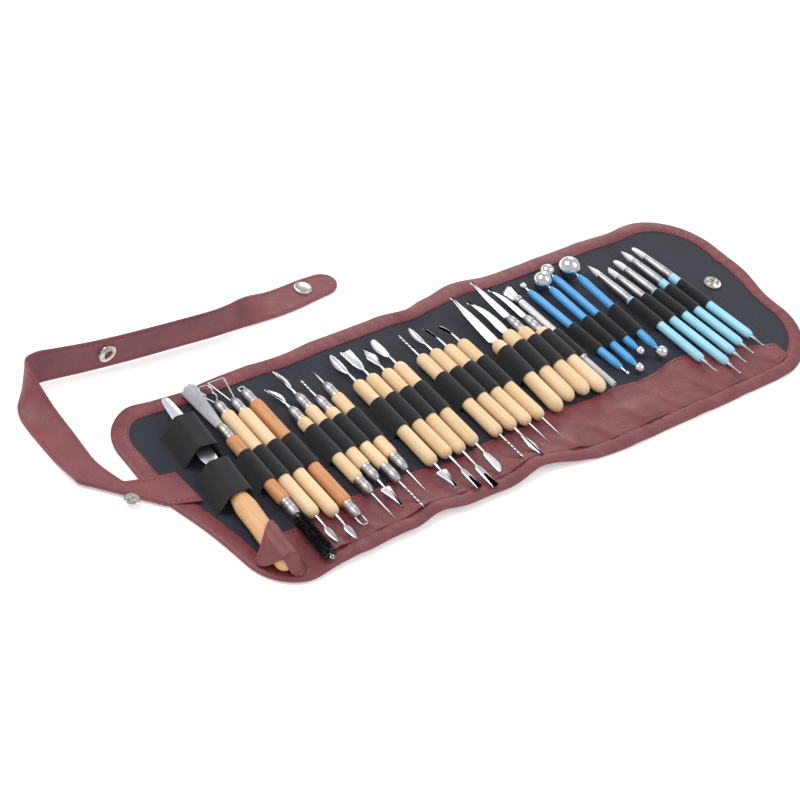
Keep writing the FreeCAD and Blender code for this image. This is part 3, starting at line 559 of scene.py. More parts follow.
def plate(outline: Sequence[tuple[float, float]], thickness: float, ground: float = 0.9, edge: float = 0.25,
          steps: int = 5, lift: Callable[[float, float], float] | None = None) -> Mesh:
    """A flat blade with ground edges.

    Args:
        outline: (x, y) corners in order; the blade's edge is a smooth curve through them.
        thickness: the thickness in the middle.
        ground: how far in from the edge the grinding starts.
        edge: the share of the thickness that is left at the edge.
        steps: how many pieces each span of the edge is cut into.
        lift: how much a point of the blade is raised, for a dished blade.

    Returns:
        The mesh.
    """
    rim = smooth_path([Vector((x, y, 0)) for x, y in outline], steps, closed=True)
    count = len(rim)
    area = sum(a.x * b.y - b.x * a.y for a, b in zip(rim, rim[1:] + rim[:1]))
    inward = 1 if area > 0 else -1
    inner: list[Vector] = []
    for number, point in enumerate(rim):
        along = (rim[(number + 1) % count] - rim[number - 1]).normalized()
        inner.append(point + Vector((-along.y, along.x, 0)) * inward * ground)
    layers = [
        [point + Vector((0, 0, -thickness / 2)) for point in inner],
        [point + Vector((0, 0, -thickness / 2 * edge)) for point in rim],
        [point + Vector((0, 0, thickness / 2 * edge)) for point in rim],
        [point + Vector((0, 0, thickness / 2)) for point in inner],
    ]
    points = [point for layer in layers for point in layer]
    if lift:
        points = [point + Vector((0, 0, lift(point.x, point.y))) for point in points]
    rings = [list(range(level * count, (level + 1) * count)) for level in range(4)]
    order = 1 if area > 0 else -1
    faces = [face[::-order] for face in bridged(rings)]
    return points, [*faces, tuple(rings[0][::-order]), tuple(rings[3][::order])]


def piece(name: str, mesh: Mesh, finish: Finish, body: str, matrix: Matrix | None = None,
          replaced: Sequence[str] = (), crease: float = 40.0) -> bpy.types.Object:
    """Makes one visible piece that moves with a body.

    Args:
        name: the piece's name.
        mesh: its points and faces in millimetres.
        finish: what it is made of.
        body: the body that it rides on, or nothing for a piece that is left unattached.
        matrix: where it goes.
        replaced: the CAD nodes that it stands for.
        crease: the angle in degrees past which an edge stays sharp.

    Returns:
        The object.
    """
    points, faces = moved(mesh, matrix) if matrix else mesh
    data = bpy.data.meshes.new(name)
    data.from_pydata([point * MM for point in points], [], faces)
    solid = bmesh.new()
    solid.from_mesh(data)
    bmesh.ops.recalc_face_normals(solid, faces=solid.faces)
    solid.to_mesh(data)
    solid.free()
    data.shade_smooth()
    data.set_sharp_from_angle(angle=math.radians(crease))
    data.materials.append(dress(finish))
    made = bpy.data.objects.new(name, data)
    bpy.context.scene.collection.objects.link(made)
    if body:
        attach(made, body)
    if replaced:
        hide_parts(*replaced)
    return made


# ---------------------------------------------------------------- tools

Ring = tuple[float, float, float]  # lowest station, highest station, radius


@dataclass
class Line:
    """One tool's own axis with the stations along it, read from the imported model.

    Stations run along +Y of the tool's own frame from the middle of the elastic. head and foot are the
    handle's ends, collar and cuff the ends of its ferrules, and tip and tail the ends of the tool.
    """

    name: str
    matrix: Matrix
    radius: float
    foot: float
    head: float
    collar: float
    cuff: float
    tip: float
    tail: float
    parts: list[Ring]

    @property
    def lower(self) -> Matrix:
        """The frame of the tool's lower end, whose +Y points out of that end."""
        return self.matrix @ Matrix.Rotation(math.pi, 4, "Z")

    def piece(self, part: str, mesh: Mesh, finish: Finish, slot: str, lower: bool = False,
              crease: float = 40.0, replaced: Sequence[str] | None = None) -> bpy.types.Object:
        """Makes a piece of this tool in the frame of one of its ends.

        Args:
            part: the piece's name after the tool's.
            mesh: its points and faces in the end's frame.
            finish: what it is made of.
            lower: whether it is on the lower end.
            crease: the angle past which an edge stays sharp.
            replaced: the CAD nodes it stands for, which is the tool's own node when nothing is given.

        Returns:
            The object.
        """
        nodes = (self.name,) if replaced is None else replaced
        return piece(f"{self.name}_{part}", mesh, finish, self.name, self.lower if lower else self.matrix,
                     nodes, crease)


def loose_parts(node: str) -> list[list[Vector]]:
    """The points of each separate solid of a CAD node, in millimetres.

    Args:
        node: the CAD node's name.

    Returns:
        One list of points for each solid.
    """
    mesh = frame["nodes"][node].data
    known: dict[tuple[int, ...], int] = {}
    owner: list[int] = []

    def root(number: int) -> int:
        """The number that stands for a point's whole solid."""
        while owner[number] != number:
            owner[number] = owner[owner[number]]
            number = owner[number]
        return number

    ids = []
    for vertex in mesh.vertices:
        key = tuple(round(value * 1e5) for value in vertex.co)
        if key not in known:
            known[key] = len(owner)
            owner.append(known[key])
        ids.append(known[key])
    for face in mesh.polygons:
        for corner in face.vertices[1:]:
            owner[root(ids[corner])] = root(ids[face.vertices[0]])
    groups: dict[int, list[Vector]] = {}
    for key, number in known.items():
        groups.setdefault(root(number), []).append(Vector(key) / 100)
    return list(groups.values())


FERRULE_RADIUS = (4.25, 4.55)
FERRULE_LENGTH = (10, 20)


def read_line(joint: dict) -> Line:
    """Finds a tool's axis and stations from its slide and its solids.

    Args:
        joint: the tool's slide, as the record has it.

    Returns:
        The tool's line.
    """
    name, axis = joint["child"], Vector(joint["axis"]).normalized()
    solids = [solid for node in frame["record"]["behaviour"]["bodies"][name] for solid in loose_parts(node)]

    def ring(solid: list[Vector], origin: Vector) -> Ring:
        """A solid's lowest and highest stations and its reach from the axis."""
        stations = [(point - origin).dot(axis) for point in solid]
        reach = max((point - origin - axis * (point - origin).dot(axis)).length for point in solid)
        return min(stations), max(stations), reach

    def bulk(solid: list[Vector]) -> float:
        """How much of the tool a solid makes up, or 0 where the elastic doesn't hold it."""
        low, high, reach = ring(solid, sum(solid, Vector()) / len(solid))
        crosses = min(point.y for point in solid) < 10 and max(point.y for point in solid) > -10
        return (high - low) * reach ** 2 if crosses else 0.0

    handle = max(solids, key=bulk)
    middle = sum(handle, Vector()) / len(handle)
    origin = middle - axis * ((middle.y - 0.5) / axis.y)
    rings = sorted(ring(solid, origin) for solid in solids)
    foot, head, radius = ring(handle, origin)
    sleeves = [r for r in rings if FERRULE_RADIUS[0] < r[2] < FERRULE_RADIUS[1]
               and FERRULE_LENGTH[0] <= r[1] - r[0] <= FERRULE_LENGTH[1]]
    upper = next((r for r in sleeves if r[0] > 0), (head, head, 0))
    lower = next((r for r in sleeves if r[1] < 0), (foot, foot, 0))
    across = Vector((axis.y, -axis.x, 0)).normalized()
    up = across.cross(axis)
    matrix = Matrix((across, axis, up)).transposed().to_4x4()
    matrix.translation = origin
    return Line(name, matrix, radius, lower[1], upper[0], upper[1], lower[0], max(r[1] for r in rings),
                min(r[0] for r in rings), rings)


class Form(Enum):
    """The working ends of the double-ended tools."""

    NEEDLE = "needle"
    DRILL = "twist drill"
    SHOULDERED_LOOP = "shouldered ribbon loop"
    SQUARE_LOOP = "square ribbon loop"
    MINI_LOOP = "mini ribbon loop"
    LEAF = "leaf spatula"
    SPEAR = "spear spatula"
    TRIANGLE = "triangular blade"
    SQUARE = "square scraper"
    DIAMOND = "diamond scraper"
    GOUGE = "forked gouge"
    ROUND = "cupped round scraper"
    SICKLE = "sickle blade"
    KNIFE = "curved leaf knife"
    PICK = "dental pick"
    HOOK = "hooked pick"
    SKEW = "skew blade"
    CARVING = "carving blade"
    BENT = "bent carving blade"


# Half outlines, as shares of the blade's width and of its length past the collar.
HALVES: dict[Form, Outline] = {
    Form.LEAF: [(0.1, 0.3), (0.4, 0.48), (0.5, 0.66), (0.36, 0.86), (0.12, 0.98)],
    Form.SPEAR: [(0.1, 0.4), (0.46, 0.58), (0.34, 0.82), (0.1, 0.98)],
    Form.TRIANGLE: [(0.14, 0.3), (0.48, 0.35), (0.25, 0.68), (0.03, 1)],
    Form.SQUARE: [(0.12, 0.25), (0.4, 0.45), (0.48, 0.75), (0.5, 1), (0.2, 1)],
    Form.DIAMOND: [(0.1, 0.25), (0.48, 0.6), (0.44, 0.68), (0.2, 0.88), (0.02, 1)],
    Form.ROUND: [(0.12, 0.3), (0.36, 0.42), (0.5, 0.62), (0.48, 0.8), (0.25, 0.98)],
    Form.CARVING: [(0.36, 0.02), (0.48, 0.14), (0.36, 0.6), (0.2, 0.82), (0.05, 1)],
}
WHOLES: dict[Form, Outline] = {
    Form.SICKLE: [(0.1, 0.25), (0.3, 0.4), (0.2, 0.65), (-0.68, 0.99), (-0.35, 0.62), (-0.15, 0.4), (-0.1, 0.25)],
    Form.KNIFE: [(0.14, 0.25), (0.5, 0.4), (0.54, 0.62), (0.2, 0.88), (-0.28, 0.99), (-0.1, 0.6), (-0.14, 0.25)],
    Form.PICK: [(0.12, 0.4), (0.12, 0.6), (-0.3, 0.85), (-0.98, 0.99), (-0.45, 0.78), (-0.12, 0.55), (-0.12, 0.4)],
    Form.HOOK: [(0.12, 0.4), (0.14, 0.6), (-0.4, 0.88), (-1.46, 0.99), (-0.6, 0.8), (-0.12, 0.56), (-0.12, 0.4)],
    Form.SKEW: [(0.1, 0.3), (0.48, 0.45), (0.5, 0.97), (-0.5, 0.8), (-0.48, 0.45), (-0.1, 0.3)],
    Form.GOUGE: [(0.1, 0.4), (0.5, 0.55), (0.48, 1), (0.32, 0.99), (0.1, 0.72), (-0.1, 0.72), (-0.32, 0.99),
                 (-0.48, 1), (-0.5, 0.55), (-0.1, 0.4)],
    Form.BENT: [(0.34, 0.02), (0.36, 0.35), (0.12, 0.7), (-0.58, 0.99), (-0.6, 0.96), (-0.4, 0.55), (-0.34, 0.02)],
}
WIRES: dict[Form, Outline] = {
    Form.SHOULDERED_LOOP: [(0.16, -0.25), (0.18, 0.06), (0.42, 0.33), (0.33, 0.5), (0.46, 0.73), (0.28, 0.96)],
    Form.SQUARE_LOOP: [(0.14, -0.25), (0.16, 0.03), (0.34, 0.55), (0.46, 0.9), (0.42, 0.96)],
    Form.MINI_LOOP: [(0.3, -0.5), (0.4, 0.02), (0.42, 0.6), (0.24, 0.9)],
}
POINTED = {Form.NEEDLE: 0.12, Form.DRILL: 0.55}


@dataclass(frozen=True)
class Tip:
    """A working end: a steel point, a wire loop or a ground blade on a round stem."""

    form: Form
    width: float = 2.4
    finish: Finish = Finish.BLADE
    thickness: float = 1.3
    stem: float = 1.05
    wire: float = 0.75

    def meshes(self, base: float, end: float) -> list[Mesh]:
        """The tip's meshes in its end's frame.

        Args:
            base: the station where it leaves the ferrule or handle.
            end: the station of its far end.

        Returns:
            One mesh, or a stem and a blade.
        """
        reach = end - base
        if self.form is Form.NEEDLE:
            profile = [(0, base - 1), (self.stem, base - 1), (self.stem, base + reach * 0.3),
                       (self.stem * 0.62, base + reach * 0.65), (0.12, end - 0.2), (0, end)]
            return [lathe(profile, 20)]
        if self.form is Form.DRILL:
            return [self.drill(base, end)]
        if self.form in WIRES:
            half = [Vector((x * self.width, base + y * reach, 0)) for x, y in WIRES[self.form]]
            path = smooth_path([*half, *[Vector((-p.x, p.y, 0)) for p in reversed(half)]], 6)
            top = end - self.wire
            path = [Vector((p.x, min(p.y, top), 0)) for p in path]
            return [sweep(path, self.wire, 10)]
        outline = WHOLES.get(self.form)
        if outline is None:
            half = HALVES[self.form]
            outline = [*half, *[(-x, y) for x, y in reversed(half)]]
        start = min(y for _, y in outline)
        dish = self.width * 0.22 if self.form in (Form.ROUND, Form.LEAF) else 0.0
        blade = plate([(x * self.width, base + y * reach) for x, y in outline], self.thickness,
                      ground=min(1.1, self.width * 0.12), edge=0.2,
                      lift=lambda x, y: -dish * (2 * x / self.width) ** 2 if dish else 0.0)
        stem = lathe([(0, base - 1), (self.stem * 1.25, base - 1), (self.stem * 1.25, base + 0.4 * reach * start),
                      (self.stem * 0.85, base + reach * start), (self.stem * 0.6, base + reach * (start + 0.1)),
                      (0, base + reach * (start + 0.14))], 20)
        return [stem, blade]

    def drill(self, base: float, end: float) -> Mesh:
        """A twist drill: a plain shank, then two flutes that wind round to a ground point."""
        shank, turn, steps, sides = base + (end - base) * 0.3, 7.5, 70, 24
        rings, points = [], []
        for step in range(-2, steps + 1):
            share = max(0.0, step / steps)
            station = shank + (end - shank) * share if step >= 0 else base - 1 + (step + 2) * (shank - base)
            rings.append(list(range(len(points), len(points) + sides)))
            twist = 2 * math.pi * (station - shank) / turn
            point = min(1.0, (1 - share) * 16 + 0.06)
            for side in range(sides):
                angle = 2 * math.pi * side / sides
                flute = 0.42 * max(0.0, math.cos(2 * angle - 2 * twist)) ** 2 if share > 0 else 0.0
                radius = self.stem * (1.05 - flute) * point
                points.append(Vector((radius * math.cos(angle), station, radius * math.sin(angle))))
        return points, [*bridged(rings), tuple(rings[0]), tuple(reversed(rings[-1]))]


def fillet(radius: float, end: float, inward: int, length: float, mouth: float = 0.35) -> Outline:
    """The rounded end of a turned handle, from its middle outwards to its side.

    Args:
        radius: the handle's radius.
        end: the station of its end.
        inward: 1 where the handle lies above that station, else -1.
        length: how far along the rounding reaches.
        mouth: the share of the radius that stays flat at the end.

    Returns:
        (radius, station) pairs.
    """
    pairs = [(0.0, end)]
    for step in range(7):
        angle = math.pi / 2 * step / 6
        out, along = mouth + (1 - mouth) * math.sin(angle), 1 - math.cos(angle)
        pairs.append((radius * out, end + inward * length * along))
    return pairs


@dataclass
class Handle:
    """A turned handle with rounded ends and a slight swell."""

    radius: float
    foot: float
    head: float
    foot_round: float = 5.0
    head_round: float = 5.0
    waist: float = 0.03
    foot_mouth: float = 0.35
    head_mouth: float = 0.35

    def mesh(self) -> Mesh:
        """The handle's mesh."""
        low = fillet(self.radius, self.foot, 1, self.foot_round, self.foot_mouth)
        high = fillet(self.radius, self.head, -1, self.head_round, self.head_mouth)
        span = (high[-1][1] - low[-1][1]) or 1
        middle = []
        for step in range(1, 16):
            share = step / 16
            dip = self.waist * math.sin(math.pi * share) ** 2
            middle.append((self.radius * (1 - dip), low[-1][1] + span * share))
        return lathe([*low, *middle, *reversed(high)], 48)


@dataclass
class Ferrule:
    """A drawn metal sleeve with rolled rims and crimped rings."""

    radius: float
    low: float
    high: float
    mouth: float
    crimps: Sequence[float] = (0.28, 0.4)
    groove: float = 0.28
    wall: float = 0.35

    def mesh(self) -> Mesh:
        """The sleeve's mesh, which tapers from radius to mouth over its last third."""
        length = self.high - self.low
        outer = [(self.radius - 0.15, self.low), (self.radius, self.low + 0.3)]
        marks = sorted(self.crimps)
        for share in marks:
            at = self.low + length * share
            outer += [(self.radius, at - 0.7), (self.radius - self.groove, at - 0.25),
                      (self.radius - self.groove, at + 0.25), (self.radius, at + 0.7)]
        outer += [(self.radius, self.low + length * 0.66), (self.mouth + (self.radius - self.mouth) * 0.55,
                  self.low + length * 0.86), (self.mouth, self.high - 0.3), (self.mouth - 0.2, self.high)]
        inner = [(max(0.0, self.mouth - 0.2 - self.wall), self.high), (0.0, self.high - 0.1)]
        return lathe([(0.0, self.low + 0.05), (self.radius - self.wall, self.low), *outer, *inner], 44)


@dataclass
class WoodenTool:
    """A double-ended tool: a turned handle with a working end, and perhaps a ferrule, at each end."""

    line: Line
    wood: Finish
    slot: str
    upper: Tip
    lower: Tip

    def build(self) -> None:
        """Makes the tool's pieces."""
        line = self.line
        sleeved = (line.collar - line.head > 1, line.foot - line.cuff > 1)
        shape = Handle(line.radius, line.foot - (1 if sleeved[1] else 0), line.head + (1 if sleeved[0] else 0),
                       4 if sleeved[1] else 6, 4 if sleeved[0] else 6, 0.02,
                       0.72 if sleeved[1] else 0.3, 0.72 if sleeved[0] else 0.3)
        line.piece("turned_handle", shape.mesh(), self.wood, self.slot)
        ends = ((self.upper, line.head, line.collar, line.tip, False),
                (self.lower, -line.foot, -line.cuff, -line.tail, True))
        for tip, head, collar, end, lower in ends:
            side = "lower" if lower else "upper"
            if collar - head > 1:
                mouth = 3.1 if tip.form is Form.MINI_LOOP else 2.5
                sleeve = Ferrule(FERRULE_RADIUS[0] + 0.12, head, collar, mouth)
                line.piece(f"{side}_ferrule", sleeve.mesh(), Finish.FERRULE, self.slot, lower)
            wired = tip.form in WIRES
            finish = Finish.WIRE if wired or tip.form in POINTED else tip.finish
            line.piece(f"{side}_tip", joined(tip.meshes(collar, end)), finish, self.slot, lower,
                       crease=70 if wired else 30)


@dataclass
class CarvingKnife:
    """A thick round-ended handle with a ground carving blade."""

    line: Line
    blade: Tip

    def build(self) -> None:
        """Makes the knife's pieces."""
        line = self.line
        sleeved = line.collar - line.head > 1
        shape = Handle(line.radius, line.foot, line.head + (1 if sleeved else 0), 9, 6 if sleeved else 8, 0.05,
                       0.12, 0.62 if sleeved else 0.4)
        line.piece("turned_handle", shape.mesh(), Finish.BIRCH, "birch")
        if sleeved:
            sleeve = Ferrule(FERRULE_RADIUS[0] + 0.12, line.head, line.collar, 3.1, (0.2, 0.55))
            line.piece("ferrule", sleeve.mesh(), Finish.FERRULE, "birch")
        line.piece("blade", joined(self.blade.meshes(line.collar, line.tip)), Finish.BLADE, "birch", crease=25)


def strands(roots: Sequence[Vector], ends: Sequence[Vector], radius: float, bow: float, seed: int) -> Mesh:
    """Many fine bristles or wires.

    Args:
        roots: where each starts.
        ends: where each ends.
        radius: a bristle's radius.
        bow: how far one is bent off its line.
        seed: the seed of the bending.

    Returns:
        One mesh of them all.
    """
    chance = random.Random(seed)
    meshes = []
    for root, end in zip(roots, ends):
        side = Vector((chance.uniform(-1, 1), chance.uniform(-1, 1), chance.uniform(-1, 1))) * bow
        path = [root, root.lerp(end, 0.5) + side, end]
        meshes.append(sweep(path, radius, 4))
    return joined(meshes)


@dataclass
class CleaningBrush:
    """A conical nylon brush and a spiral wire-cored brush on one handle."""

    line: Line
    hairs: int = 1500
    spiral_hairs: int = 760

    def build(self) -> None:
        """Makes the brush's pieces."""
        line, chance = self.line, random.Random(11)
        shape = Handle(line.radius, line.foot - 1, line.head + 1, 4, 4, 0.02, 0.72, 0.72)
        line.piece("turned_handle", shape.mesh(), Finish.BEECH, "beech")
        for lower, head, collar in ((False, line.head, line.collar), (True, -line.foot, -line.cuff)):
            sleeve = Ferrule(FERRULE_RADIUS[0] + 0.12, head, collar, 3.4, (0.25, 0.45))
            side = "lower" if lower else "upper"
            line.piece(f"{side}_ferrule", sleeve.mesh(), Finish.FERRULE, "beech", lower)
        top, wide = line.tip, max(ring[2] for ring in line.parts)
        roots, ends = [], []
        for _ in range(self.hairs):
            turn, spread = chance.uniform(0, 2 * math.pi), math.sqrt(chance.random())
            start, finish = spread * 3.0, spread * (wide - 0.5)
            level = top - 1.2 - chance.random() ** 2 * (top - line.collar) * 0.42
            share = (level - line.collar) / (top - line.collar)
            reach = start + (finish - start) * share
            roots.append(Vector((start * math.cos(turn), line.collar - 1, start * math.sin(turn))))
            ends.append(Vector((reach * math.cos(turn), level, reach * math.sin(turn))))
        line.piece("cone_bristles", strands(roots, ends, 0.17, 0.35, 12), Finish.WHITE_NYLON, "beech", crease=80)
        low, high = -line.cuff, -line.tail
        stem, fluff = high - 4.5, line.cuff - 4
        twist = [[Vector((0.5 * math.cos(turn + side), low - 1 + step * (stem - low + 1) / 90,
                          0.5 * math.sin(turn + side))) for step in range(91) for turn in (step * 0.8,)]
                 for side in (0, math.pi)]
        eye = [Vector((1.35 * math.sin(a), stem + 1.9 - 1.7 * math.cos(a), 0))
               for a in (math.pi * 2 * step / 18 for step in range(19))]
        line.piece("twisted_core", joined([*(sweep(path, 0.48, 6) for path in twist), sweep(eye, 0.5, 8)]),
                   Finish.WIRE, "beech", lower=True)
        roots, ends = [], []
        count = self.spiral_hairs
        first, last, reach = -fluff, stem, min(6.0, wide)
        for number in range(count):
            share = number / count
            station = first + (last - first) * share
            turn = share * (last - first) / 2.6 * 2 * math.pi / 2
            for side in (0, math.pi):
                angle = turn + side + chance.uniform(-0.12, 0.12)
                out = reach * (1 - 0.1 * chance.random())
                roots.append(Vector((0, station, 0)))
                level = station + chance.uniform(-0.5, 0.5)
                ends.append(Vector((out * math.cos(angle), level, out * math.sin(angle))))
        line.piece("spiral_bristles", strands(roots, ends, 0.17, 0.15, 13), Finish.BLACK_NYLON, "beech", True, 80)


@dataclass
class TextureBrush:
    """A brush of fanned steel wires in a collar, with a knurled grip and a clear tube over its tail."""

    line: Line
    wires: int = 170

    def build(self) -> None:
        """Makes the brush's pieces."""
        line, chance = self.line, random.Random(21)
        tail_ring, grip = line.parts[0], next(ring for ring in line.parts if ring[0] < 0 < ring[1])
        head, collar = grip[1] - 2, grip[1] + 2
        radius, sides = line.radius, 72
        knurl = []
        rings = []
        for step in range(0, 181):
            station = tail_ring[1] + (head - tail_ring[1]) * step / 180
            edge = min(1.0, step / 4, (180 - step) / 4)
            rings.append(list(range(len(knurl), len(knurl) + sides)))
            for side in range(sides):
                angle = 2 * math.pi * side / sides
                wave = abs(math.sin(angle * 12 + station * 2.0)) + abs(math.sin(angle * 12 - station * 2.0))
                out = radius - 0.42 + 0.21 * wave * edge
                knurl.append(Vector((out * math.cos(angle), station, out * math.sin(angle))))
        caps = [tuple(rings[0]), tuple(reversed(rings[-1]))]
        grip_mesh = (knurl, [*bridged(rings), *caps])
        line.piece("knurled_grip", grip_mesh, Finish.ALUMINIUM, "ferrule_aluminium", crease=22)
        line.piece("collar", Ferrule(4.5, head, collar, 4.1, (0.4,)).mesh(), Finish.NICKEL, "ferrule_aluminium")
        roots, ends = [], []
        for _ in range(self.wires):
            turn, spread = chance.uniform(0, 2 * math.pi), math.sqrt(chance.random())
            level = line.tip - chance.random() * 2.2
            roots.append(Vector((2.4 * spread * math.cos(turn), collar - 2, 2.4 * spread * math.sin(turn))))
            ends.append(Vector((4.4 * spread * math.cos(turn), level, 4.4 * spread * math.sin(turn))))
        line.piece("wires", strands(roots, ends, 0.16, 0.2, 22), Finish.WIRE, "ferrule_aluminium", crease=80)
        tube = [(1.7, tail_ring[0]), (2.45, tail_ring[0]), (2.6, tail_ring[0] + 0.3), (2.6, tail_ring[1] - 0.1),
                (1.7, tail_ring[1] - 0.1)]
        line.piece("clear_tube", lathe([(0, tail_ring[0] + 1), (1.7, tail_ring[0] + 1), *tube[:-1],
                                        (0, tail_ring[1] - 0.1)], 32), Finish.CLEAR, "ferrule_aluminium")


def globe(radius: float, station: float, neck: float) -> Outline:
    """A ball's profile on its neck, from the neck outwards.

    Args:
        radius: the ball's radius.
        station: the ball's middle.
        neck: the radius of the neck it sits on.

    Returns:
        (radius, station) pairs.
    """
    start = math.asin(min(0.95, neck / radius))
    return [(radius * math.sin(angle), station - radius * math.cos(angle))
            for angle in (start + (math.pi - start) * step / 22 for step in range(22))] + [(0.0, station + radius)]


@dataclass
class BallStylus:
    """A plastic handle with a polished steel ball on a neck at each end."""

    line: Line

    def build(self) -> None:
        """Makes the stylus's pieces."""
        line = self.line
        handle = next(ring for ring in line.parts if ring[0] < 0 < ring[1])
        balls = [(max(line.parts, key=lambda r: r[1]), False), (min(line.parts), True)]
        profile = [(0, handle[0]), (1.9, handle[0]), (2.3, handle[0] + 0.5), (line.radius - 0.15, handle[0] + 7),
                   (line.radius, handle[0] + 9)]
        profile += [(line.radius, handle[1] - 9), (line.radius - 0.15, handle[1] - 7), (2.3, handle[1] - 0.5),
                    (1.9, handle[1]), (0, handle[1])]
        line.piece("plastic_handle", lathe(profile, 44), Finish.MID_BLUE, "mid_blue_plastic")
        for ball, lower in balls:
            base, end = (-handle[0], -ball[0]) if lower else (handle[1], ball[1])
            neck = [(0, base - 1), (1.25, base - 1), (1.25, base + 0.4)]
            shape = lathe([*neck, (min(1.15, ball[2] * 0.5), end - 2 * ball[2]),
                           *globe(ball[2], end - ball[2], min(1.1, ball[2] * 0.6))], 44)
            side = "lower" if lower else "upper"
            line.piece(f"{side}_ball", shape, Finish.CHROME, "mid_blue_plastic", lower, 60)


class ShaperForm(Enum):
    """The five silicone tips."""

    CONE = "shaper_cone"
    CHISEL = "shaper_chisel"
    CUP = "shaper_cup_round"
    TAPER = "shaper_taper"
    FLAT = "shaper_flat"


@dataclass
class Shaper:
    """A clay shaper: a silicone tip in a long ferrule, a plastic handle, and a steel stylus with a ball."""

    line: Line
    form: ShaperForm

    def tip(self, low: float, high: float, radius: float) -> Mesh:
        """The silicone tip: a turned body that is pressed or cut to its form near the end."""
        body, end = low + (high - low) * 0.3, high
        rings = 26
        profile = [(0.0, low), (radius, low), (radius, body)]
        for step in range(1, rings + 1):
            share = step / rings
            slim = {ShaperForm.CONE: 1 - share ** 1.15, ShaperForm.TAPER: (1 - share ** 1.6) * 0.98}.get(
                self.form, math.sqrt(max(0.0, 1 - share ** 6)))
            profile.append((max(0.0, radius * slim) if step < rings else 0.0, body + (end - body) * share))
        points, faces = lathe(profile, 40)
        shaped = []
        for point in points:
            share = max(0.0, (point.y - body) / (end - body))
            if self.form is ShaperForm.FLAT:
                point.z *= 1 - 0.78 * share
            elif self.form is ShaperForm.CHISEL:
                cut = end - (end - body) * 0.55 * (0.5 - point.x / (2 * radius))
                point.y = min(point.y, cut)
                point.z *= 1 - 0.7 * share
            elif self.form is ShaperForm.CUP:
                point.z = min(point.z, radius * (1 - 1.1 * share))
            shaped.append(point)
        return shaped, faces

    def build(self) -> None:
        """Makes the shaper's pieces."""
        line, name = self.line, self.line.name
        stylus, handle, ferrule, tip = line.parts
        body = Handle(line.radius, handle[0], ferrule[0] + 0.5, 6, 0.6, 0.0, 0.45, 0.9)
        line.piece("plastic_handle", body.mesh(), Finish.LIGHT_BLUE, "light_blue_plastic",
                   replaced=[f"{name}_handle"])
        length = ferrule[1] - ferrule[0]
        outer = [(0.0, ferrule[0] + 0.1), (3.75, ferrule[0]), (3.98, ferrule[0] + 0.4)]
        for number in range(5):
            at = ferrule[0] + 2.2 + number * 1.5
            outer += [(3.98, at - 0.4), (3.72, at - 0.15), (3.72, at + 0.15), (3.98, at + 0.4)]
        outer += [(3.95, ferrule[0] + length * 0.35), (3.35, ferrule[0] + length * 0.75), (3.05, ferrule[1] - 0.4),
                  (2.8, ferrule[1]), (0.0, ferrule[1])]
        line.piece("long_ferrule", lathe(outer, 44), Finish.FERRULE, "ferrule_aluminium",
                   replaced=[f"{name}_ferrule"], crease=30)
        line.piece("silicone_tip", self.tip(ferrule[1] - 1, tip[1], 2.75), Finish.SILICONE, "silicone",
                   replaced=[f"{name}_tip"], crease=50)
        base, end = -handle[0], -stylus[0]
        sleeve = [(0, base - 1), (1.85, base - 1), (1.85, base + 3), (1.1, base + 5.5), (0.55, end - 2.4)]
        line.piece("steel_stylus", lathe([*sleeve, *globe(1.0, end - 1.0, 0.5)], 32), Finish.STEEL, "steel", True,
                   50, [f"{name}_stylus"])


@dataclass
class PaletteKnife:
    """A flexible palette blade in a ferrule on a thick turned handle."""

    line: Line

    def build(self) -> None:
        """Makes the knife's pieces."""
        line = self.line
        blade = max(line.parts, key=lambda r: r[1])
        handle = min(line.parts)
        head, foot, radius = handle[1], handle[0], handle[2]
        profile = [*fillet(radius, foot, 1, 7, 0.15), (radius * 0.97, foot + 26), (radius * 0.93, foot + 45),
                   (radius * 0.98, head - 24), (radius * 0.82, head - 14), (radius * 0.66, head - 10)]
        line.piece("turned_handle", lathe([*profile, (radius * 0.6, head - 9), (0, head - 9)], 56), Finish.BRUSH_WOOD,
                   "beech")
        line.piece("ferrule", Ferrule(radius * 0.64, head - 10, head, radius * 0.5, (0.3,)).mesh(), Finish.FERRULE,
                   "beech")
        wide = blade[2] - 0.15
        half = [(3.0, head - 1), (2.4, head + 12), (3.0, head + 20), (wide, head + 31), (wide, head + 46),
                (wide * 0.82, blade[1] - 24), (wide * 0.6, blade[1] - 6), (wide * 0.3, blade[1] - 0.6)]
        mesh = plate([*half, *[(-x, y) for x, y in reversed(half)]], 1.1, 1.2, 0.4)
        line.piece("blade", mesh, Finish.BLADE, "beech", crease=25)


